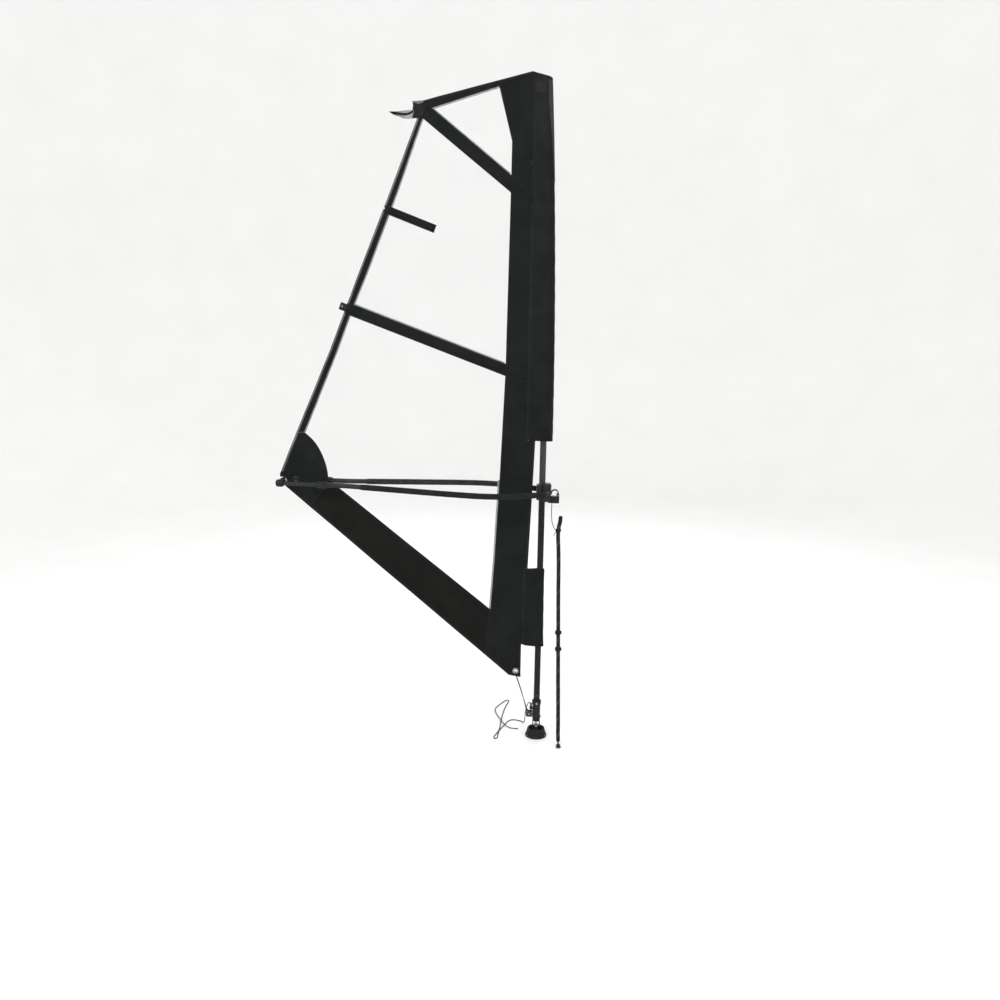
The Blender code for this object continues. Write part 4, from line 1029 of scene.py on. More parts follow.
def make_edges():
    """Hems along the free edges, with their stitching and that of the seams between the panels."""
    luff, head, leech, clew, foot, window = (OUTLINE[name][0] for name in (
        "luff_panel", "head_strip", "leech_tape", "clew_patch", "foot_panel", "window_main"))
    rows = []
    for (name, (node, _, _, width)), path in zip(HEMS.items(), FREE_EDGES):
        inner = np.mean(luff if node == "luff_panel" else window, axis=0)
        line = shifted(path, width / 2, inner)
        mat = EDGE_GREY if name in ("leech_hem", "clew_hem") else TAPE_BLACK
        piece(name, *ribbon(spaced(line, 0.014), tape_section(width, TAPE_HALF)), mat, "sailcloth")
        stitched = shifted(path, width * 0.75, inner)
        rows += both_faces(stitched, 0.0, TAPE_HALF + STITCH_LIFT, pitch=0.005, swing=0.0)
    seams = [
        shifted(part_of(luff, HEAD_WINDOW_FRONT, FOOT_TOP), 0.005, (-0.12, 2.0)),
        part_of(foot, FOOT_TOP, CLEW_FRONT),
        shifted(part_of(clew, CLEW_FRONT, LEECH_WINDOW_FOOT), 0.005, CLEW),
        part_of(head, HEAD_WINDOW_FRONT, HEAD_WINDOW_REAR),
        part_of(leech, LEECH_WINDOW_TOP, LEECH_WINDOW_FOOT),
        part_of(foot, FOOT_TOP, FOOT_FRONT),
        part_of(foot, CLEW_FRONT, FOOT_REAR),
    ]
    for path in seams:
        for offset in (-0.003, 0.003):
            rows += both_faces(path, offset, CLOTH_HALF + STITCH_LIFT)
    piece("sail_stitching", *joined(rows), THREAD, "webbing")


def shifted(path, distance, towards):
    """A path moved sideways by a distance, to the side on which a point lies."""
    line = spaced(path, 0.012)
    _, normals = across(line)
    side = np.sign(((np.asarray(towards) - line) * normals).sum(1).sum())
    return line + normals * distance * side


def make_film_edges():
    """Grey strips of glued film beside the pockets, the head strip, the leech and the luff panel."""
    head, leech = OUTLINE["head_strip"][0], OUTLINE["leech_tape"][0]
    luff = OUTLINE["luff_panel"][0]
    window = np.mean(OUTLINE["window_main"][0], axis=0)
    strips = [
        (shifted(part_of(head, HEAD_WINDOW_FRONT, HEAD_WINDOW_REAR), 0.006, (-0.35, 3.0)), 0.012),
        (shifted(part_of(leech, LEECH_WINDOW_TOP, LEECH_WINDOW_FOOT), 0.003, window), 0.008),
        (shifted(part_of(luff, (-0.221, 1.397), FOOT_TOP), 0.004, window), 0.009),
        (spaced([(-0.566, 3.1865), (-0.196, 2.8995)], 0.02), 0.011),
        (spaced([(-0.985, 2.2770), (-0.206, 1.9920)], 0.02), 0.010),
    ]
    parts = [ribbon(path, tape_section(width, 0.00045, 0.0001)) for path, width in strips]
    piece("glued_film_strips", *joined(parts), FILM_EDGE, "window_film")


# ---------------------------------------------------------------- battens, pockets and leech fittings
# each pocket's leech end and luff end as (x, z), its width and the length of its pointed tip
POCKETS = {"upper": ((-0.6245, 3.1906), (-0.083, 2.7705), 0.065, 0.036),
           "middle": ((-1.000, 2.2500), (-0.083, 1.9150), 0.058, 0.034),
           "short": ((-0.806, 2.7270), (-0.557, 2.6349), 0.040, 0.0)}
POCKET_HEM = 0.004
BATTEN_SECTION = [(-0.0070, -0.0025), (-0.0070, -0.0034), (-0.0062, -0.0041), (0.0062, -0.0041),
                  (0.0070, -0.0034), (0.0070, -0.0025), (0.0064, -0.0021), (-0.0064, -0.0021)]


def pocket_section(width):
    """A pocket that crowns over its batten, flat at its stitched edges."""
    w = width / 2
    front = [(-w, -0.0016), (-w + 0.007, -0.0022), (-w * 0.48, -0.0038), (-w * 0.22, -0.0052), (0, -0.0056),
             (w * 0.22, -0.0052), (w * 0.48, -0.0038), (w - 0.007, -0.0022), (w, -0.0016)]
    back = [(w, -0.0009), (w * 0.4, -0.0012), (-w * 0.4, -0.0012), (-w, -0.0009)]
    return front + back


def make_pockets():
    """Three pockets with their battens and the stitching round them."""
    rows = []
    for label, (start, end, width, tip) in POCKETS.items():
        start, end = np.array(start), np.array(end)
        length = math.dist(start, end)
        last = np.linspace(length - max(tip, 0.005), length - 0.001, 6)
        stations = np.concatenate([np.arange(0, last[0] - 0.002, 0.010), last])
        path = np.array([start + (end - start) * s / length for s in stations])
        scale = np.clip((length - stations) / tip, 0.04, 1.0) if tip else np.ones(len(stations))
        pocket = ribbon(path, pocket_section(width), scale)
        piece(f"batten_pocket_{label}_skin", *pocket, SAIL_BLACK, "sailcloth",
              stands_for=f"batten_pocket_{label}")
        along = (end - start) / length
        side = np.array([-along[1], along[0]]) * (width / 2 - POCKET_HEM)
        line = spaced([start - along * 0.003, start + along * (length - max(tip, 0.02))], 0.010)
        tapers = np.clip(0.72 + np.arange(len(line)) * 0.14, 0, 1)
        rod = ribbon(line, BATTEN_SECTION, np.minimum(tapers, tapers[::-1]))
        piece(f"batten_{label}_rod", *rod, BATTEN_WHITE, "batten", stands_for=f"batten_{label}")
        main = spaced([start, path[-6]], 0.02)
        for offset in (POCKET_HEM - width / 2, width / 2 - POCKET_HEM):
            rows.append(stitch_row(main, offset, -0.0024, pitch=0.0055, swing=0.0))
        for corner in (end - along * tip - side, end - along * tip + side):
            rows.append(stitch_row([corner, end - along * 0.006], 0.0, -0.0026, swing=0.0))
        for s in (0.006, 0.011):
            across_end = [start + along * s - side, start + along * s + side]
            rows.append(stitch_row(across_end, 0.0, -0.0062, pitch=0.0045, swing=0.0))
    piece("pocket_stitching", *joined(rows), THREAD, "webbing")


def local_frame(start, end):
    """X along a pocket, Z across it and Y out of the sail."""
    turn = math.atan2(-(end[1] - start[1]), end[0] - start[0])
    return Matrix.Translation((start[0], 0, start[1])) @ Matrix.Rotation(turn, 4, "Y")


def make_leech_fittings():
    """The tension cap of the middle batten, the peak strap with its rivets, and the strap's loose tail."""
    start, end, _, _ = POCKETS["middle"]
    place = local_frame(start, end)
    parts = [soft_box((-0.0320, -0.0092, -0.0190), (-0.0006, -0.0014, 0.0190), 0.0034, 4),
             soft_box((-0.0290, -0.0100, -0.0120), (-0.0100, -0.0070, 0.0120), 0.0014, 3)]
    parts += [soft_box((x, -0.0098, -0.0150), (x + 0.0012, -0.0080, 0.0150), 0.0004, 2)
              for x in (-0.0085, -0.0063, -0.0041)]
    piece("batten_cap_moulding", *joined(parts), PLASTIC, "black_plastic", stands_for="batten_cap", matrix=place)
    screw = turned([(0.0, -0.0108), (0.0032, -0.0108), (0.0040, -0.0100), (0.0040, -0.0086), (0.0, -0.0086)],
                   24, "Y", False)
    piece("batten_cap_screw", *moved(screw, -0.0195, 0, 0), STEEL, "stainless", matrix=place)

    outline = [(-0.6690, 3.2215), (-0.6130, 3.2250), (-0.6050, 3.1820), (-0.6290, 3.1455), (-0.6700, 3.1455),
               (-0.6610, 3.1720)]
    panel("peak_strap_skin", outline, 0.0034, WEBBING, "webbing", "peak_strap", cell=0.008, shift=-0.0060)
    panel("peak_fold", grown(outline, -0.006), 0.0010, TAPE_BLACK, "webbing", cell=0.008, shift=-0.0088)
    top = [(-0.6680, 3.2212), (-0.6140, 3.2245), (-0.6190, 3.2140), (-0.6400, 3.2090), (-0.6670, 3.2165)]
    panel("peak_binding", top, 0.0004, EDGE_GREY, "webbing", cell=0.008, shift=-0.0102)
    rivet = turned([(0.0, -0.0014), (0.0016, -0.0012), (0.0026, -0.0005), (0.0028, 0.0006), (0.0, 0.0006)],
                   24, "Y", False)
    rivets = [moved(rivet, x, out + float(sail_y(x, z)), z)
              for x, z, out in ((-0.6230, 3.1990, -0.0100), (-0.6190, 3.1660, -0.0100),
                                (-0.5760, 2.6430, -0.0060), (-0.0920, 0.5200, -0.0018))]
    piece("rivets", *joined(rivets), DARK_ALLOY, "stainless")
    make_strap_tail()


def make_strap_tail():
    """The loose end of the peak strap: a narrow webbing that curls and shows its edge."""
    steps, verts = 26, []
    for k in range(steps):
        t = k / (steps - 1)
        x = -0.6645 - 0.1160 * t
        z = 3.1775 - 0.0055 * t - 0.0160 * math.sin(math.pi * t ** 0.8)
        turn = math.radians(8 + 60 * math.sin(math.pi * t) ** 0.8)
        width = (0.0042 + 0.0048 * max(0.0, math.sin(math.pi * (t - 0.25) / 0.75))) * (1 - t ** 8) + 0.0005
        half = Vector((0.10, -math.sin(turn) * 0.35, math.cos(turn))).normalized() * width
        thick = Vector((0, 0.0006, 0))
        middle = Vector((x, -0.0090, z))
        verts += [tuple(middle - half - thick), tuple(middle - half + thick), tuple(middle + half + thick),
                  tuple(middle + half - thick)]
    piece("strap_tail_webbing", verts, capped(rows_of(steps, 4)), SAIL_BLACK, "webbing",
          stands_for="strap_tail")
    web = [(-0.660, 3.1840), (-0.700, 3.1795), (-0.742, 3.1750), (-0.778, 3.1724), (-0.748, 3.1570),
           (-0.716, 3.1425), (-0.690, 3.1405), (-0.660, 3.1435)]
    panel("strap_tail_film", web, 0.0002, FILM_EDGE, "window_film", cell=0.008, shift=-0.0075)


def make_reinforcements():
    """Extra cloth layers and eyelets at the tack and the clew, a sewn ring and a bar tack."""
    tack = [(-0.153, 0.3415), (-0.0905, 0.3315), (-0.0905, 0.470), (-0.150, 0.500), (-0.238, 0.420)]
    clew = [(-1.336, 1.424), (-1.284, 1.560), (-1.190, 1.500), (-1.160, 1.383), (-1.225, 1.268),
            (-1.2965, 1.326), (-1.2965, 1.404)]
    half = [(0.0075, -0.0030), (0.0086, -0.0037), (0.0112, -0.0040), (0.0146, -0.0034), (0.0158, -0.0026),
            (0.0158, -0.0014), (0.0094, -0.0013)]
    eyelet = turned(mirrored(half, (0.0090, 0.0)), 64, "Y")
    rows = []
    for name, (x, z), outline, mat in (("tack", TACK, tack, STEEL), ("clew", CLEW, clew, DARK_ALLOY)):
        outline = grown(outline, -0.0015)
        hole = [(x + 0.0100 * math.cos(a), z + 0.0100 * math.sin(a))
                for a in np.linspace(0, math.tau, 24, endpoint=False)]
        panel(f"{name}_layer", outline, 0.00115, SAIL_BLACK, "sailcloth", holes=[hole], cell=0.011)
        piece(f"{name}_eyelet_ring", *moved(eyelet, x, 0, z), mat, "stainless", stands_for=f"{name}_eyelet",
              sharp=25.0)
        inner = grown(outline, -0.005)
        rows += both_faces(inner + inner[:1], 0.0, 0.0016, swing=30.0)
    ring = [(-1.120 + 0.016 * math.cos(a), 1.246 + 0.016 * math.sin(a)) for a in np.linspace(0, math.tau, 40)]
    rows += both_faces(ring, 0.0, 0.0011, pitch=0.004, swing=0.0)
    middle = np.array((-0.093, 2.952))
    for lean in (45, 135):
        way = np.array([math.cos(math.radians(lean)), math.sin(math.radians(lean))]) * 0.011
        for side in (-0.0012, 0.0012):
            rows.append(stitch_row([middle - way, middle + way], side, -0.0026, pitch=0.003, swing=12.0))
    piece("corner_stitching", *joined(rows), THREAD, "webbing")


def on_sleeve(x, z, out):
    """A place a little way out from the near flank of the upper sleeve."""
    front, radius = upper_sleeve(z)
    centre = front - radius
    if x >= centre:
        y = math.sqrt(max(radius ** 2 - (x - centre) ** 2, 0.0))
    else:
        start = math.pi - math.acos(radius / (centre - SEAM_X))
        tip = (centre + radius * math.cos(start), radius * math.sin(start))
        y = tip[1] + (0.0012 - tip[1]) * (tip[0] - x) / (tip[0] - SEAM_X) if x < tip[0] else radius * 0.97
    return (x, -y - out, z + head_slope(x, z))


def make_head_patch():
    """A blank square patch on the sleeve near the head, with a raised sewn border."""
    low, high, steps = (-0.0800, 3.2660), (-0.0240, 3.3220), 12
    for name, margin, thick, mat in (("head_patch", 0.0, 0.0022, TAPE_BLACK),
                                     ("head_patch_field", 0.006, 0.0027, WEBBING)):
        xs = np.linspace(low[0] + margin, high[0] - margin, steps)
        zs = np.linspace(low[1] + margin, high[1] - margin, steps)
        verts = [on_sleeve(x, z, out) for out in (thick, 0.0004) for z in zs for x in xs]
        piece(name, verts, plate_faces(steps, steps), mat, "webbing")


# ---------------------------------------------------------------- mast and extension
def mast_centre(z):
    """The bent mast's axis and outside radius at a height."""
    share = max(0.0, (z - MAST_JOIN_Z) / (MAST_TOP_Z - MAST_JOIN_Z))
    return -MAST_BEND * share ** 2, MAST_RADIUS + (MAST_TOP_RADIUS - MAST_RADIUS) * share


def mast_tube(low, high, step=0.03, sides=48, eased=0.0006):
    """A stretch of the mast, open at both ends, with softly rounded rims."""
    heights = list(np.linspace(low, high, max(3, round((high - low) / step))))
    profile = [(low, eased)] + [(z, 0.0) for z in [low + eased, *heights[1:-1], high - eased]]
    profile += [(high, eased), (high, MAST_WALL - 0.0003)] + [(z, MAST_WALL) for z in reversed(heights[1:-1])]
    profile += [(low, MAST_WALL - 0.0003)]
    verts = []
    for z, inward in profile:
        x, radius = mast_centre(z)
        verts += [(x + (radius - inward) * math.cos(math.tau * k / sides),
                   (radius - inward) * math.sin(math.tau * k / sides), z) for k in range(sides)]
    rings = rows_of(len(profile), sides)
    return verts, wall(rings + rings[:1])


def make_mast():
    """The two mast tubes with bands at the foot, the ferrule, the extension tube and its height collar."""
    for label, low, high in (("lower", MAST_FOOT_Z, MAST_JOIN_Z),
                             ("upper", MAST_JOIN_Z + 0.0005, MAST_TOP_Z)):
        piece(f"mast_{label}_tube", *mast_tube(low, high), MAST_SKIN, "mast_tube", stands_for=f"mast_{label}")
    rings = [turned([(MAST_RADIUS + 0.0001, z - h), (MAST_RADIUS + 0.0006, z - h + 0.0004),
                     (MAST_RADIUS + 0.0006, z + h - 0.0004), (MAST_RADIUS + 0.0001, z + h)], 48)
             for z, h in ((0.232, 0.009), (0.262, 0.002))]
    piece("mast_foot_bands", *joined(rings), PLASTIC, "black_plastic")
    dress("mast_ferrule", ALLOY)
    tube = turned([(0.0118, 0.1655), (0.0138, 0.1655), (0.0138, 0.4990), (0.0134, 0.5000), (0.0122, 0.5000),
                   (0.0118, 0.4990)], 48)
    piece("extension_tube_skin", *tube, ALLOY, "alloy", stands_for="extension_tube")
    collar = [(0.0143, 0.1780), (0.0200, 0.1780), (0.0222, 0.1796), (0.0236, 0.1822)]
    for k in range(5):
        z = 0.1842 + 0.0034 * k
        collar += [(0.0240, z), (0.0240, z + 0.0018), (0.0231, z + 0.0022), (0.0231, z + 0.0030)]
    collar += [(0.0238, 0.2022), (0.0228, 0.2036), (0.0205, 0.2045), (0.0170, 0.2045), (0.0143, 0.2042)]
    piece("height_collar_moulding", *turned(collar, 64), PLASTIC, "black_plastic", stands_for="height_collar")


def make_extension_foot():
    """The extension's foot with its ribs, button and pull pin, and the downhaul's sheave, block and cleat."""
    dress("extension_foot", PLASTIC, 0.0006)
    ribs = [turned([(0.0204, z), (0.0213, z + 0.0005), (0.0213, z + 0.0020), (0.0204, z + 0.0025)], 64)
            for z in (0.0985, 0.1480, 0.1540, 0.1680)]
    piece("extension_foot_ribs", *joined(ribs), PLASTIC, "black_plastic")
    button = turned([(0.0, 0.0125), (0.0058, 0.0125), (0.0060, 0.0130), (0.0060, 0.0236), (0.0057, 0.0248),
                     (0.0046, 0.0256), (0.0030, 0.0258), (0.0026, 0.0254), (0.0, 0.0253)], 48, "X", False)
    piece("release_button_cap", *moved(button, 0, 0, BUTTON_Z), STEEL, "stainless", "button",
          "release_button")
    ring = turned([(0.0064, 0.0204), (0.0092, 0.0204), (0.0092, 0.0216), (0.0084, 0.0220), (0.0068, 0.0220)],
                  48, "X")
    piece("button_surround", *moved(ring, 0, 0, BUTTON_Z), STEEL, "stainless")
    pin = turned([(0.0, -0.0330), (0.0046, -0.0330), (0.0056, -0.0324), (0.0060, -0.0314), (0.0060, -0.0300),
                  (0.0055, -0.0296), (0.0055, -0.0288), (0.0060, -0.0284), (0.0060, -0.0270), (0.0050, -0.0260),
                  (0.0024, -0.0256), (0.0020, -0.0250), (0.0020, -0.0152), (0.0016, -0.0150), (0.0, -0.0150)],
                 40, "Y", False)
    piece("collar_pin_knob", *moved(pin, 0, 0, COLLAR_PIN_Z), STEEL, "stainless", "pin", "collar_pin")
    half = [(0.0028, -0.0056), (0.0046, -0.0056), (0.0052, -0.0050), (0.0080, -0.0050), (0.0090, -0.0056),
            (0.0106, -0.0055), (0.0110, -0.0050), (0.0110, -0.0043), (0.0088, -0.0028), (0.0078, -0.0014)]
    sheave = turned(mirrored(half, (0.0075, 0.0)), 64, "Y")
    piece("downhaul_sheave_wheel", *moved(sheave, *SHEAVE), PLASTIC, "black_plastic", "sheave",
          "downhaul_sheave", sharp=28.0)
    dress("sheave_axle", STEEL, 0.0003)
    make_bracket()
    dress("jam_cleat", PLASTIC, 0.0008)
    teeth = []
    for side in (-1, 1):
        for k in range(5):
            x = -0.0362 + 0.0020 * k
            near, far = sorted((side * 0.0028, side * 0.0037))
            teeth.append(soft_box((x, near, 0.1512), (x + 0.0011, far, 0.1652), 0.0003, 1))
    piece("cleat_teeth", *joined(teeth), ALLOY, "alloy")


def make_bracket():
    """The downhaul block's two rounded cheeks, the plate between them and its rivets."""
    low, high = (-0.0560, 0.1080), (-0.0212, 0.1420)
    cheek = [(high[0], low[1]), (high[0], high[1])]
    cheek += arc((low[0] + 0.0120, high[1] - 0.0120), 0.0120, 90, 180, 10)
    cheek += arc((low[0] + 0.0100, low[1] + 0.0100), 0.0100, 180, 270, 10)
    parts = [slab(cheek, y0, y1, 0.0004) for y0, y1 in ((-0.0080, -0.0062), (0.0062, 0.0080))]
    parts.append(soft_box((-0.0237, -0.0080, 0.1080), (-0.0212, 0.0080, 0.1420), 0.0006))
    parts += [soft_box((-0.0262, -0.0086, z - 0.0022), (-0.0212, 0.0086, z + 0.0022), 0.0008)
              for z in (0.1110, 0.1390)]
    piece("pulley_bracket_cheeks", *joined(parts), DARK_ALLOY, "alloy", stands_for="pulley_bracket")
    rivet = turned(mirrored([(0.0, -0.0089), (0.0014, -0.0088), (0.0022, -0.0082)]), 20, "Y", False)
    rivets = [moved(rivet, x, 0, z) for x, z in ((-0.0500, 0.1370), (-0.0260, 0.1330), (-0.0260, 0.1170))]
    piece("bracket_rivets", *joined(rivets), STEEL, "stainless")


def make_forks():
    """The two forks of the joint, with rounded ears and bosses round their pins."""
    half, inner, outer = 0.0080, 0.0150, 0.0200
    up = [(-half, 0.0340), (half, 0.0340)] + arc((0, JOINT_Z), half, 0, 180, 15)
    down = [(half, 0.0860), (-half, 0.0860)] + arc((0, JOINT_Z), half, 180, 360, 15)
    boss = turned([(0.0046, 0.0196), (0.0072, 0.0196), (0.0072, 0.0201), (0.0067, 0.0207), (0.0050, 0.0207)],
                  40, "Y")
    lift = Matrix.Translation((0, 0, JOINT_Z))
    quarter = Matrix.Rotation(math.pi / 2, 4, "Z")
    lower = [soft_box((-0.0100, -0.0200, 0.0125), (0.0100, 0.0200, 0.0355), 0.0022, 4)]
    upper = [turned([(0.0, 0.0850), (0.0180, 0.0850), (0.0196, 0.0858), (0.0203, 0.0874), (0.0203, 0.0908),
                     (0.0196, 0.0920), (0.0184, 0.0925), (0.0, 0.0925)], 64, "Z", False)]
    for side in (-1, 1):
        near, far = sorted((side * inner, side * outer))
        lower.append(slab(up, near, far, 0.0009))
        upper.append(slab(down, near, far, 0.0009, "X"))
        turn = Matrix.Rotation(math.pi if side < 0 else 0.0, 4, "Z")
        lower.append(placed(boss, lift @ turn))
        upper.append(placed(boss, lift @ quarter @ turn))
        lower.append(soft_box((-0.0016, near, 0.0340), (0.0016, far + side * 0.0012, 0.0500), 0.0007))
    piece("lower_fork_moulding", *joined(lower), PLASTIC, "black_plastic", "base", "lower_fork")
    piece("upper_fork_moulding", *joined(upper), PLASTIC, "black_plastic", "swivel", "upper_fork")


def make_base():
    """The mast foot: ribbed plate, rubber cup, forks and the steel cross."""
    plate = [(0.0, 0.0), (0.0548, 0.0), (0.0564, 0.0006), (0.0570, 0.0020), (0.0570, 0.0078), (0.0562, 0.0098),
             (0.0545, 0.0112), (0.0520, 0.0120), (0.0480, 0.0120), (0.0, 0.0120)]
    piece("base_plate_disc", *turned(plate, 96, closed=False), PLASTIC, "black_plastic", "base", "base_plate")
    tooth = soft_box((0.0562, -0.0009, 0.0024), (0.0576, 0.0009, 0.0080), 0.0004, 1)
    knurl = [placed(tooth, Matrix.Rotation(math.tau * k / 48, 4, "Z")) for k in range(48)]
    piece("base_plate_grips", *joined(knurl), RUBBER, "rubber", "base")
    cup = [(0.0240, 0.0125), (0.0528, 0.0125), (0.0532, 0.0135)]
    for k in range(5):
        share = k / 5
        radius, z = 0.0524 - 0.0070 * share, 0.0150 + 0.0240 * share
        cup += [(radius, z), (radius + 0.0006, z + 0.0010), (radius + 0.0004, z + 0.0026),
                (radius - 0.0010, z + 0.0034)]
    cup += [(0.0458, 0.0408), (0.0456, 0.0430), (0.0446, 0.0446), (0.0432, 0.0450), (0.0412, 0.0446),
            (0.0396, 0.0430), (0.0370, 0.0330), (0.0330, 0.0245), (0.0290, 0.0190), (0.0240, 0.0165)]
    piece("joint_cup_rubber", *turned(cup, 96), RUBBER, "rubber", "base", "joint_cup", sharp=50.0)
    make_forks()
    dress("joint_cross", STEEL, 0.0004)
    dress("swivel_pin", STEEL)
    for axis, body in (("X", "swivel"), ("Y", "base")):
        dome = turned([(0.0, 0.0232), (0.0030, 0.0230), (0.0050, 0.0222), (0.0058, 0.0210), (0.0058, 0.0202),
                       (0.0, 0.0202)], 40, axis, False)
        heads = [moved(placed(dome, Matrix.Rotation(angle, 4, "Z")), 0, 0, JOINT_Z)
                 for angle in (math.pi, 0.0)]
        piece(f"{body}_pin_heads", *joined(heads), STEEL, "stainless", body, sharp=50.0)
    bolt = turned([(0.0, 0.0140), (0.0022, 0.0140), (0.0028, 0.0136), (0.0028, 0.0119), (0.0, 0.0119)],
                  24, "Z", False)
    bolts = []
    for k in range(6):
        spin = Matrix.Rotation(math.tau * (k + 0.5) / 6, 4, "Z")
        bolts.append(placed(bolt, spin @ Matrix.Translation((0.0545, 0, -0.0012))))
    piece("base_plate_bolts", *joined(bolts), STEEL, "stainless", "base")


# ---------------------------------------------------------------- boom
def arm_line(side, spacing=0.009):
    """The centreline of one boom arm, in the boom's own frame."""
    level = [(x, y, 0.0) for x, y in ARM_ROUTE]
    line = np.concatenate([[level[0]], smooth_route(level[1:], spacing)])
    return line * (1, side, 1)


def hollow(line, outer, inner, sides):
    """A hollow tube along a line, with open ends."""
    out_verts, out_faces = swept(line, outer, sides)
    in_verts, in_faces = swept(line, inner, sides)
    count = len(out_verts)
    around, within = rows_of(len(line), sides), rows_of(len(line), sides, count)
    faces = out_faces[:-2] + [tuple(i + count for i in reversed(f)) for f in in_faces[:-2]]
    return out_verts + in_verts, faces + bridge(around[0], within[0]) + bridge(around[-1], within[-1])


def make_arms():
    """Two bent arms with foam grips and cuffs, and the collars, tubes and stop marks at the tail."""
    for label, side in (("near", -1), ("far", 1)):
        line = arm_line(side)
        piece(f"boom_arm_{label}_tube", *hollow(line, ARM_RADIUS, 0.0112, 32), BOOM_SKIN, "boom_tube",
              stands_for=f"boom_arm_{label}", matrix=BOOM)
        covered = np.array([p for p in line if -0.930 < p[0] < 0.012 and abs(p[1]) > 0.07])
        far = np.minimum(np.arange(len(covered)), np.arange(len(covered))[::-1])
        radii = GRIP_RADIUS - 0.0016 * np.exp(-far / 0.8) + 0.00016 * np.sin(np.arange(len(covered)) * 0.9)
        piece(f"boom_grip_{label}_foam", *hollow(covered, radii, 0.0127, 40), FOAM, "grip_foam",
              stands_for=f"boom_grip_{label}", matrix=BOOM, sharp=60.0)
        seam = covered + np.array([0, 0, -1.0]) * (radii[:, None] + 0.0001)
        piece(f"boom_grip_{label}_seam", *placed(swept(seam, 0.0006, 8), BOOM), RUBBER, "rubber")
        cuff = turned([(ARM_RADIUS + 0.0001, 0.0304), (0.0160, 0.0304), (0.0172, 0.0324), (0.0172, 0.0440),
                       (0.0150, 0.0480), (ARM_RADIUS + 0.0001, 0.0480)], 48, "Y")
        cuff = placed(cuff, MIRROR_Y) if side < 0 else cuff
        piece(f"arm_cuff_{label}", *moved(cuff, 0.026, 0, 0), PLASTIC, "black_plastic",
              matrix=BOOM)
        make_collar(label, side)
        tube = turned([(0.0085, 0.0160), (0.0098, 0.0155), (TAIL_RADIUS, 0.0160), (TAIL_RADIUS, 0.3190),
                       (0.0096, 0.3200), (0.0085, 0.3195)], 40, "X")
        place = BOOM @ Matrix.Translation((TAIL_END_X, side * TAIL_HALF_WIDTH, 0))
        piece(f"tail_tube_{label}_skin", *tube, BOOM_SKIN, "boom_tube", "tail", f"tail_tube_{label}",
              matrix=place)
        dot = turned([(0.0, 0.0105), (0.0022, 0.0104), (0.0026, 0.0098), (0.0, 0.0098)], 20, "Z", False)
        marks = joined([moved(dot, 0.070 + 0.030 * k, 0, 0) for k in range(5)])
        piece(f"tail_stops_{label}", *marks, STEEL, "stainless", "tail", matrix=place)


def make_collar(label, side):
    """A ribbed twist collar."""
    profile = [(0.0130, 0.0340), (0.0150, 0.0344), (0.0162, 0.0336), (0.0172, 0.0318), (0.0175, 0.0300),
               (0.0175, -0.0100), (0.0168, -0.0130), (0.0152, -0.0180), (0.0110, -0.0182), (0.0105, -0.0174),
               (0.0105, -0.0010), (0.0130, -0.0010)]
    rib = soft_box((-0.0080, -0.0011, 0.0168), (0.0270, 0.0011, 0.0182), 0.0006, 2)
    parts = [turned(profile, 64, "X")]
    parts += [placed(rib, Matrix.Rotation(math.tau * k / 14, 4, "X")) for k in range(14)]
    place = BOOM @ Matrix.Translation((ARM_END_X, side * TAIL_HALF_WIDTH, 0))
    piece(f"twist_collar_{label}_moulding", *joined(parts), PLASTIC, "black_plastic", f"collar_{label}",
          f"twist_collar_{label}", matrix=place)


def make_tail_end():
    """The end that joins the two tail tubes, with rounded lobes, a grip bar, rollers and end screws."""
    width = TAIL_HALF_WIDTH + 0.0165
    parts = [soft_box((0.0060, -width + 0.012, -0.0145), (0.0330, width - 0.012, 0.0145), 0.0075, 5)]
    for side in (-1, 1):
        lobe = turned([(0.0, 0.0), (0.0120, 0.0008), (0.0165, 0.0040), (0.0190, 0.0100), (0.0195, 0.0200),
                       (0.0185, 0.0330), (0.0160, 0.0385), (0.0120, 0.0400), (0.0106, 0.0400), (0.0, 0.0400)],
                      48, "X", False)
        parts.append(moved(lobe, 0, side * TAIL_HALF_WIDTH, 0))
    for k in range(5):
        y = -0.036 + 0.018 * k
        parts.append(soft_box((0.0090, y - 0.0016, -0.0165), (0.0300, y + 0.0016, 0.0165), 0.0012, 2))
    place = BOOM @ Matrix.Translation((TAIL_END_X, 0, 0))
    piece("tail_end_moulding", *joined(parts), PLASTIC, "black_plastic", "tail", "tail_end", matrix=place)
    wheel = turned(mirrored([(0.0, -0.0040), (0.0060, -0.0040), (0.0070, -0.0032), (0.0054, -0.0012)]),
                   40, "Y", False)
    screw = turned([(0.0, 0.0), (0.0040, 0.0002), (0.0052, 0.0014), (0.0052, 0.0030), (0.0, 0.0030)],
                   32, "Y", False)
    rollers = [moved(wheel, 0.0335, y, 0.0040) for y in (-0.0105, 0.0105)]
    rollers += [moved(screw, 0.0200, -width - 0.0012, 0.0),
                moved(placed(screw, MIRROR_Y), 0.0200, width + 0.0012, 0.0)]
    piece("tail_end_rollers", *joined(rollers), STEEL, "stainless", "tail", matrix=place)


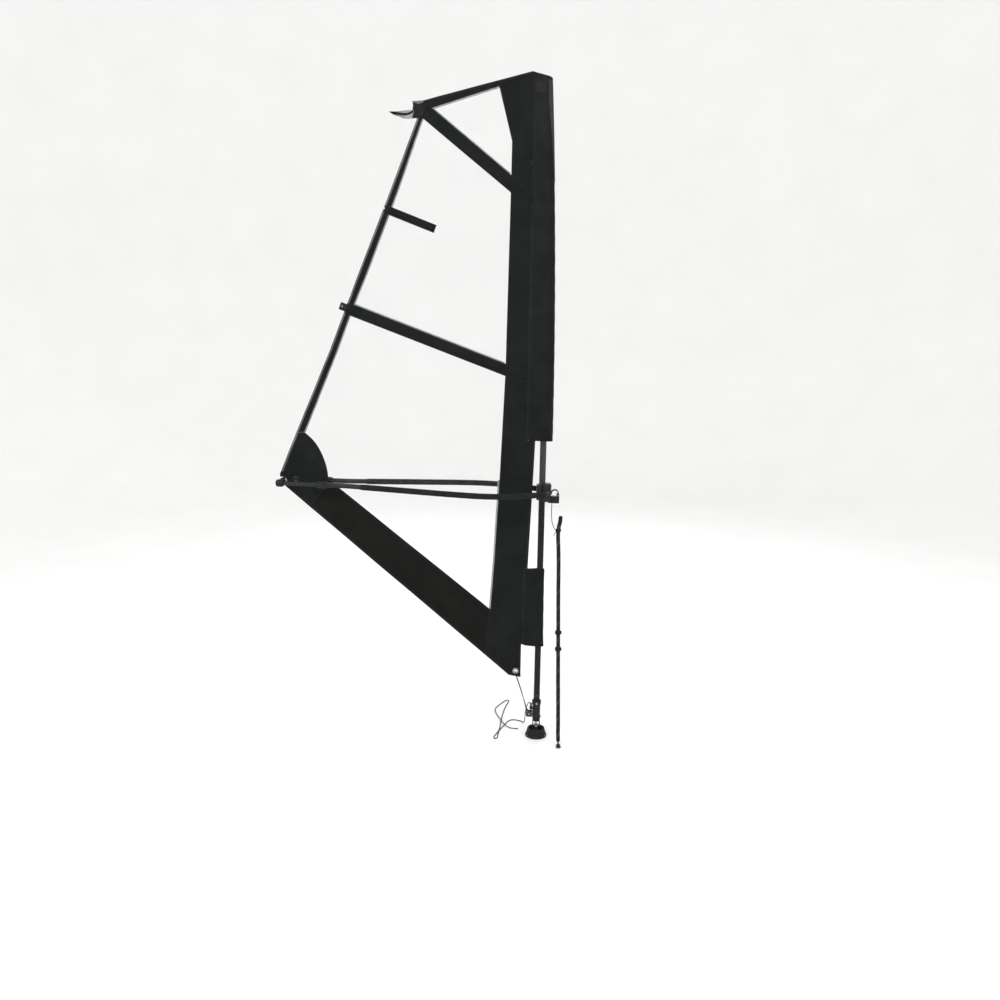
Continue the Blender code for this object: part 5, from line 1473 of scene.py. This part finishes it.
def make_boom_head():
    """The boom head and its jaw with their ribs, the hinge pin, the screws and the lever."""
    dress("boom_head", PLASTIC, 0.0018)
    dress("clamp_jaw", PLASTIC, 0.0018)
    ribs = [soft_box((0.0060, -0.0306, z - 0.0014), (0.0400, 0.0306, z + 0.0014), 0.0010, 2)
            for z in (-0.0380, 0.0300, 0.0370)]
    ribs += [soft_box((0.0430, y - 0.0014, -0.0300), (0.0458, y + 0.0014, 0.0420), 0.0010, 2)
             for y in (-0.018, 0, 0.018)]
    ribs += [soft_box((0.0430, -0.0205, z - 0.0012), (0.0840, 0.0205, z + 0.0012), 0.0008, 2)
             for z in (-0.0470, -0.0260)]
    piece("boom_head_ribs", *joined(ribs), PLASTIC, "black_plastic", matrix=BOOM)
    jaw_ribs = [soft_box((-0.0302, -0.0240, z - 0.0014), (-0.0240, 0.0240, z + 0.0014), 0.0010, 2)
                for z in (-0.028, -0.014, 0.0, 0.014, 0.028)]
    piece("clamp_jaw_ribs", *joined(jaw_ribs), PLASTIC, "black_plastic", "jaw", matrix=BOOM)
    pin = turned(mirrored([(0.0, -0.0470), (0.0026, -0.0470), (0.0034, -0.0462)]), 32, "Z", False)
    piece("jaw_hinge_pin", *moved(pin, 0.0006, 0.0300, 0), STEEL, "stainless", matrix=BOOM)
    head = turned([(0.0, 0.0462), (0.0020, 0.0462), (0.0024, 0.0450), (0.0030, 0.0452), (0.0038, 0.0440),
                   (0.0038, 0.0430), (0.0, 0.0430)], 32, "X", False)
    screws = [moved(head, 0, y, z) for y in (-0.0220, 0.0220) for z in (-0.0100, 0.0220)]
    piece("boom_head_screws", *joined(screws), STEEL, "stainless", matrix=BOOM)
    make_lever()


def make_lever():
    """The arched clamp lever, with a rolled rim and its pivot tube."""
    pivot = Vector((0.0825, 0, -0.0113))
    centre = (-0.0165, 0.0085)
    section = [(0.0150, 0.0118), (0.0158, 0.0130), (0.0190, 0.0130), (0.0200, 0.0120), (0.0203, 0.0060),
               (0.0203, -0.0060), (0.0200, -0.0120), (0.0190, -0.0130), (0.0158, -0.0130), (0.0150, -0.0118),
               (0.0153, -0.0050), (0.0153, 0.0050)]
    steps, verts = 44, []
    for k in range(steps):
        share = k / (steps - 1)
        angle = math.radians(-28 + 226 * share)
        thin = 1.0 - 0.25 * share ** 3
        verts += [(centre[0] + radius * math.cos(angle), y * thin, centre[1] + radius * math.sin(angle))
                  for radius, y in section]
    arch = verts, capped(rows_of(steps, len(section)))
    hub = turned(mirrored([(0.0, -0.0136), (0.0048, -0.0136), (0.0055, -0.0128)]), 36, "Y", False)
    place = BOOM @ Matrix.Translation(pivot)
    piece("clamp_lever_arch", *joined([arch, hub]), PLASTIC, "black_plastic", "lever", "clamp_lever",
          matrix=place)
    pin = turned([(0.0, -0.0190), (0.0030, -0.0190), (0.0036, -0.0184), (0.0036, -0.0139), (0.0, -0.0139)],
                 32, "Y", False)
    both = joined([pin, placed(pin, MIRROR_Y)])
    piece("lever_pin", *both, STEEL, "stainless", matrix=place)


# ---------------------------------------------------------------- lines
def boom_place(x, y, z):
    """World place of a point in the boom's own frame."""
    return BOOM @ Vector((x, y, z))


def rope(name, points, radius, strands, flecks, stands_for, body="rig"):
    """A braided line that stands for its plain tube."""
    verts, faces, face_mats, line = braid(points, radius, strands, flecks)
    made = piece(name, verts, faces, ROPE, "rope", body, stands_for, sharp=80.0, face_mats=face_mats)
    return made, line


def wrap_knot(middle, way, inner, thick, turns=3.3):
    """A stopper knot: a line wound round a rope, with its end tucked along it."""
    way = Vector(way).normalized()
    side = way.orthogonal().normalized()
    other = way.cross(side)
    points, steps = [], round(turns * 26)
    for k in range(steps + 1):
        angle = math.tau * turns * k / steps
        along = (k / steps - 0.5) * turns * thick * 1.55
        radius = inner + thick * (0.78 + 0.22 * math.sin(math.pi * k / steps))
        out = side * math.cos(angle) + other * math.sin(angle)
        points.append(Vector(middle) + way * along + out * radius)
    ends = np.clip(np.minimum(np.arange(steps + 1), np.arange(steps + 1)[::-1]) / 6.0, 0.15, 1)
    return swept(np.array([tuple(p) for p in points]), thick * np.sqrt(ends), 16)


def make_lines():
    """Outhaul, downhaul and its tail, and the uphaul on its lanyard."""
    plain, flecked = {}, {1: 1, 13: 2}
    through = Vector((CLEW[0], 0, CLEW[1]))
    start = boom_place(TAIL_END_X + 0.0415, -0.0105, 0.004)
    outhaul = [start, through + Vector((-0.018, -0.0100, 0)), through + Vector((-0.0060, -0.0072, 0)),
               through + Vector((-0.0020, 0, 0)), through + Vector((-0.0060, 0.0072, 0)),
               through + Vector((-0.018, 0.0100, 0)), start + Vector((0, 0.0210, 0))]
    verts, faces, face_mats, _ = braid(outhaul, 0.0020, 4, plain)
    line = piece("outhaul_braid", verts, faces, ROPE, "rope", None, "outhaul_line", sharp=80.0,
                 face_mats=face_mats)
    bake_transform(line)

    tack = Vector((TACK[0], 0, TACK[1]))
    wrap = [SHEAVE + 0.0115 * Vector((math.cos(math.radians(a)), 0, math.sin(math.radians(a))))
            for a in (180, 225, 270, 315, 360)]
    rope("downhaul_braid", [
        (-0.0500, -0.0071, 0.1448), (-0.0530, -0.0074, 0.1560), (-0.0830, -0.0090, 0.2500),
        tack + Vector((0.004, -0.0095, -0.024)), tack + Vector((-0.0005, -0.0075, -0.0080)),
        tack + Vector((-0.0010, 0.0, -0.0040)), tack + Vector((-0.0005, 0.0075, -0.0080)),
        tack + Vector((0.004, 0.0085, -0.024)), (-0.0830, 0.0055, 0.2500), (-0.0560, 0.0008, 0.1520), *wrap,
        (-0.0285, 0.0, 0.1420), (-0.0285, 0.0, 0.1600), (-0.0285, 0.0, 0.1735)],
        0.0022, 4, {1: 1}, "downhaul_line")
    becket = wrap_knot((-0.0515, -0.0073, 0.1500), (-0.03, 0, 0.2), 0.0022, 0.0018, 2.6)
    piece("downhaul_becket", *becket, ROPE_DARK, "rope")

    tail, line = rope("downhaul_tail_braid", TAIL_ROUTE, 0.0025, 4, {1: 1, 6: 2}, "downhaul_tail")
    turn = wrap_knot((-0.0288, 0.0028, 0.1760), (0.1, 1, 0.1), 0.0026, 0.0020, 2.4)
    hitch = piece("downhaul_hitch", *turn, ROPE_DARK, "rope")
    whip = wrap_knot(TAIL_ROUTE[-1], Vector(TAIL_ROUTE[-1]) - Vector(TAIL_ROUTE[-2]), 0.0020, 0.0006, 5.0)
    whipping = piece("tail_whipping", *moved(whip, -0.005, 0, 0.0002), THREAD, "rope")

    lanyard, line = rope("uphaul_lanyard_braid", LANYARD_ROUTE, 0.0020, 4, plain, "uphaul_lanyard")
    curl = smooth_route([(0.0800, -0.0190, 1.1370), (0.0735, -0.0215, 1.1290), (0.0680, -0.0225, 1.1190),
                         (0.0640, -0.0215, 1.1110)], 0.003)
    loose = piece("lanyard_end", *swept(curl, 0.0018, 12), ROPE_DARK, "rope")
    tie = piece("lanyard_knot", *wrap_knot((0.0900, -0.0040, 1.1380), (0.02, 0, -1), 0.0108, 0.0021, 3.4),
                ROPE_DARK, "rope")

    up, line = rope("uphaul_braid", UPHAUL_ROUTE, 0.0110, 8, flecked, "uphaul_rope")
    for label, height in (("upper", 0.590), ("lower", 0.500)):
        k = int(np.argmin(abs(line[:, 2] - height)))
        knot = wrap_knot(line[k], Vector(line[k + 2]) - Vector(line[k]), 0.0095, 0.0044, 2.3)
        piece(f"uphaul_knot_{label}", *knot, ROPE_DARK, "rope")
    hook = make_hook(Vector(UPHAUL_ROUTE[-1]))


def make_hook(end):
    """The plastic hook on the uphaul's lower end, lying on the deck: an eye and a bent finger."""
    z, rod = 0.0071, 0.0048
    finger = [(end.x, end.y + 0.0040, end.z - 0.0030), (end.x, end.y - 0.0060, z + 0.0060),
              (end.x - 0.002, end.y - 0.0150, z + 0.0006), (end.x - 0.0072, end.y - 0.0250, z),
              (end.x - 0.0070, end.y - 0.0360, z), (end.x, end.y - 0.0408, z), (end.x + 0.0072, end.y - 0.0360, z),
              (end.x + 0.0074, end.y - 0.0290, z)]
    line = smooth_route(finger, 0.0012)
    radii = np.full(len(line), rod) * np.clip(0.55 + np.arange(len(line))[::-1] / 9.0, 0.55, 1.0)
    part = swept(line, radii, 24)
    eye = turned([(0.0048, -0.0040), (0.0080, -0.0046), (0.0102, -0.0030), (0.0104, 0.0030), (0.0080, 0.0046),
                  (0.0048, 0.0040)], 36, "Z")
    eye = moved(eye, end.x, end.y - 0.0175, z)
    return piece("uphaul_hook_moulding", *joined([part, eye]), PLASTIC, "black_plastic",
                 stands_for="uphaul_hook")


# ---------------------------------------------------------------- stage
def make_stage():
    """A pale floor that curves up all round into a pale wall, open at the top."""
    flat, bend, wall_top = 7.0, 3.5, 8.0
    profile = [(0.0, 0.0), (3.0, 0.0), (flat, 0.0)]
    profile += [(flat + bend * math.sin(a), bend - bend * math.cos(a))
                for a in np.linspace(0.15, math.pi / 2, 10)]
    profile += [(flat + bend, wall_top)]
    verts, faces = turned(profile, 96, "Z", False)
    mesh = bpy.data.meshes.new("floor")
    mesh.from_pydata(verts, [], faces)
    mesh.shade_smooth()
    obj = bpy.data.objects.new("floor", mesh)
    bpy.context.scene.collection.objects.link(obj)
    look = Look("pale_floor", (0.86, 0.86, 0.855), 0.75)
    look.color(look.ramp(look.noise(1.6, 4.0), [(0.3, (0.85, 0.85, 0.845)), (0.7, (0.875, 0.875, 0.87))]))
    mesh.materials.append(look.mat)


def area_light(name, place, target, size, power, color=(1.0, 1.0, 1.0)):
    """One soft box."""
    data = bpy.data.lights.new(name, "AREA")
    data.shape = "RECTANGLE"
    data.size, data.size_y = size
    data.energy = power
    data.color = color
    obj = bpy.data.objects.new(name, data)
    obj.location = place
    obj.rotation_mode = "QUATERNION"
    obj.rotation_quaternion = (Vector(target) - Vector(place)).to_track_quat("-Z", "Y")
    bpy.context.scene.collection.objects.link(obj)


def make_lights():
    """Even daylight from above and two large soft boxes in front."""
    world = bpy.data.worlds.new("daylight")
    world.use_nodes = True
    world.node_tree.nodes["Background"].inputs["Color"].default_value = (1.0, 1.0, 1.0, 1.0)
    world.node_tree.nodes["Background"].inputs["Strength"].default_value = 1.08
    bpy.context.scene.world = world
    bpy.context.scene.view_settings.view_transform = "Standard"
    area_light("key", (-3.6, -4.6, 4.6), (-0.4, 0, 1.6), (3.0, 2.4), 150.0)
    area_light("fill", (4.2, -3.8, 3.4), (-0.2, 0, 1.4), (3.0, 2.4), 80.0)
    area_light("back", (0.8, 5.2, 4.6), (-0.3, 0, 1.8), (3.5, 2.0), 80.0)


def make_camera():
    """The camera stands in front of the rig, tipped down and slightly rolled."""
    data = bpy.data.cameras.new("camera")
    data.lens = CAMERA_LENS
    data.sensor_width = 36.0
    data.clip_end = 60.0
    obj = bpy.data.objects.new("camera", data)
    forward = Vector((0, math.cos(CAMERA_PITCH), -math.sin(CAMERA_PITCH)))
    right = Vector((1, 0, 0))
    up = right.cross(forward)
    level = math.cos(CAMERA_ROLL)
    lean = math.sin(CAMERA_ROLL)
    turn = Matrix((right * level + up * lean, up * level - right * lean, -forward)).transposed()
    obj.matrix_world = Matrix.Translation(CAMERA_PLACE) @ turn.to_4x4()
    bpy.context.scene.collection.objects.link(obj)
    bpy.context.scene.camera = obj


make_camera()
make_lines()
make_panels()
make_sleeves()
make_edges()
make_film_edges()
make_pockets()
make_leech_fittings()
make_reinforcements()
make_head_patch()
make_mast()
make_extension_foot()
make_base()
make_arms()
make_tail_end()
make_boom_head()
make_stage()
make_lights()
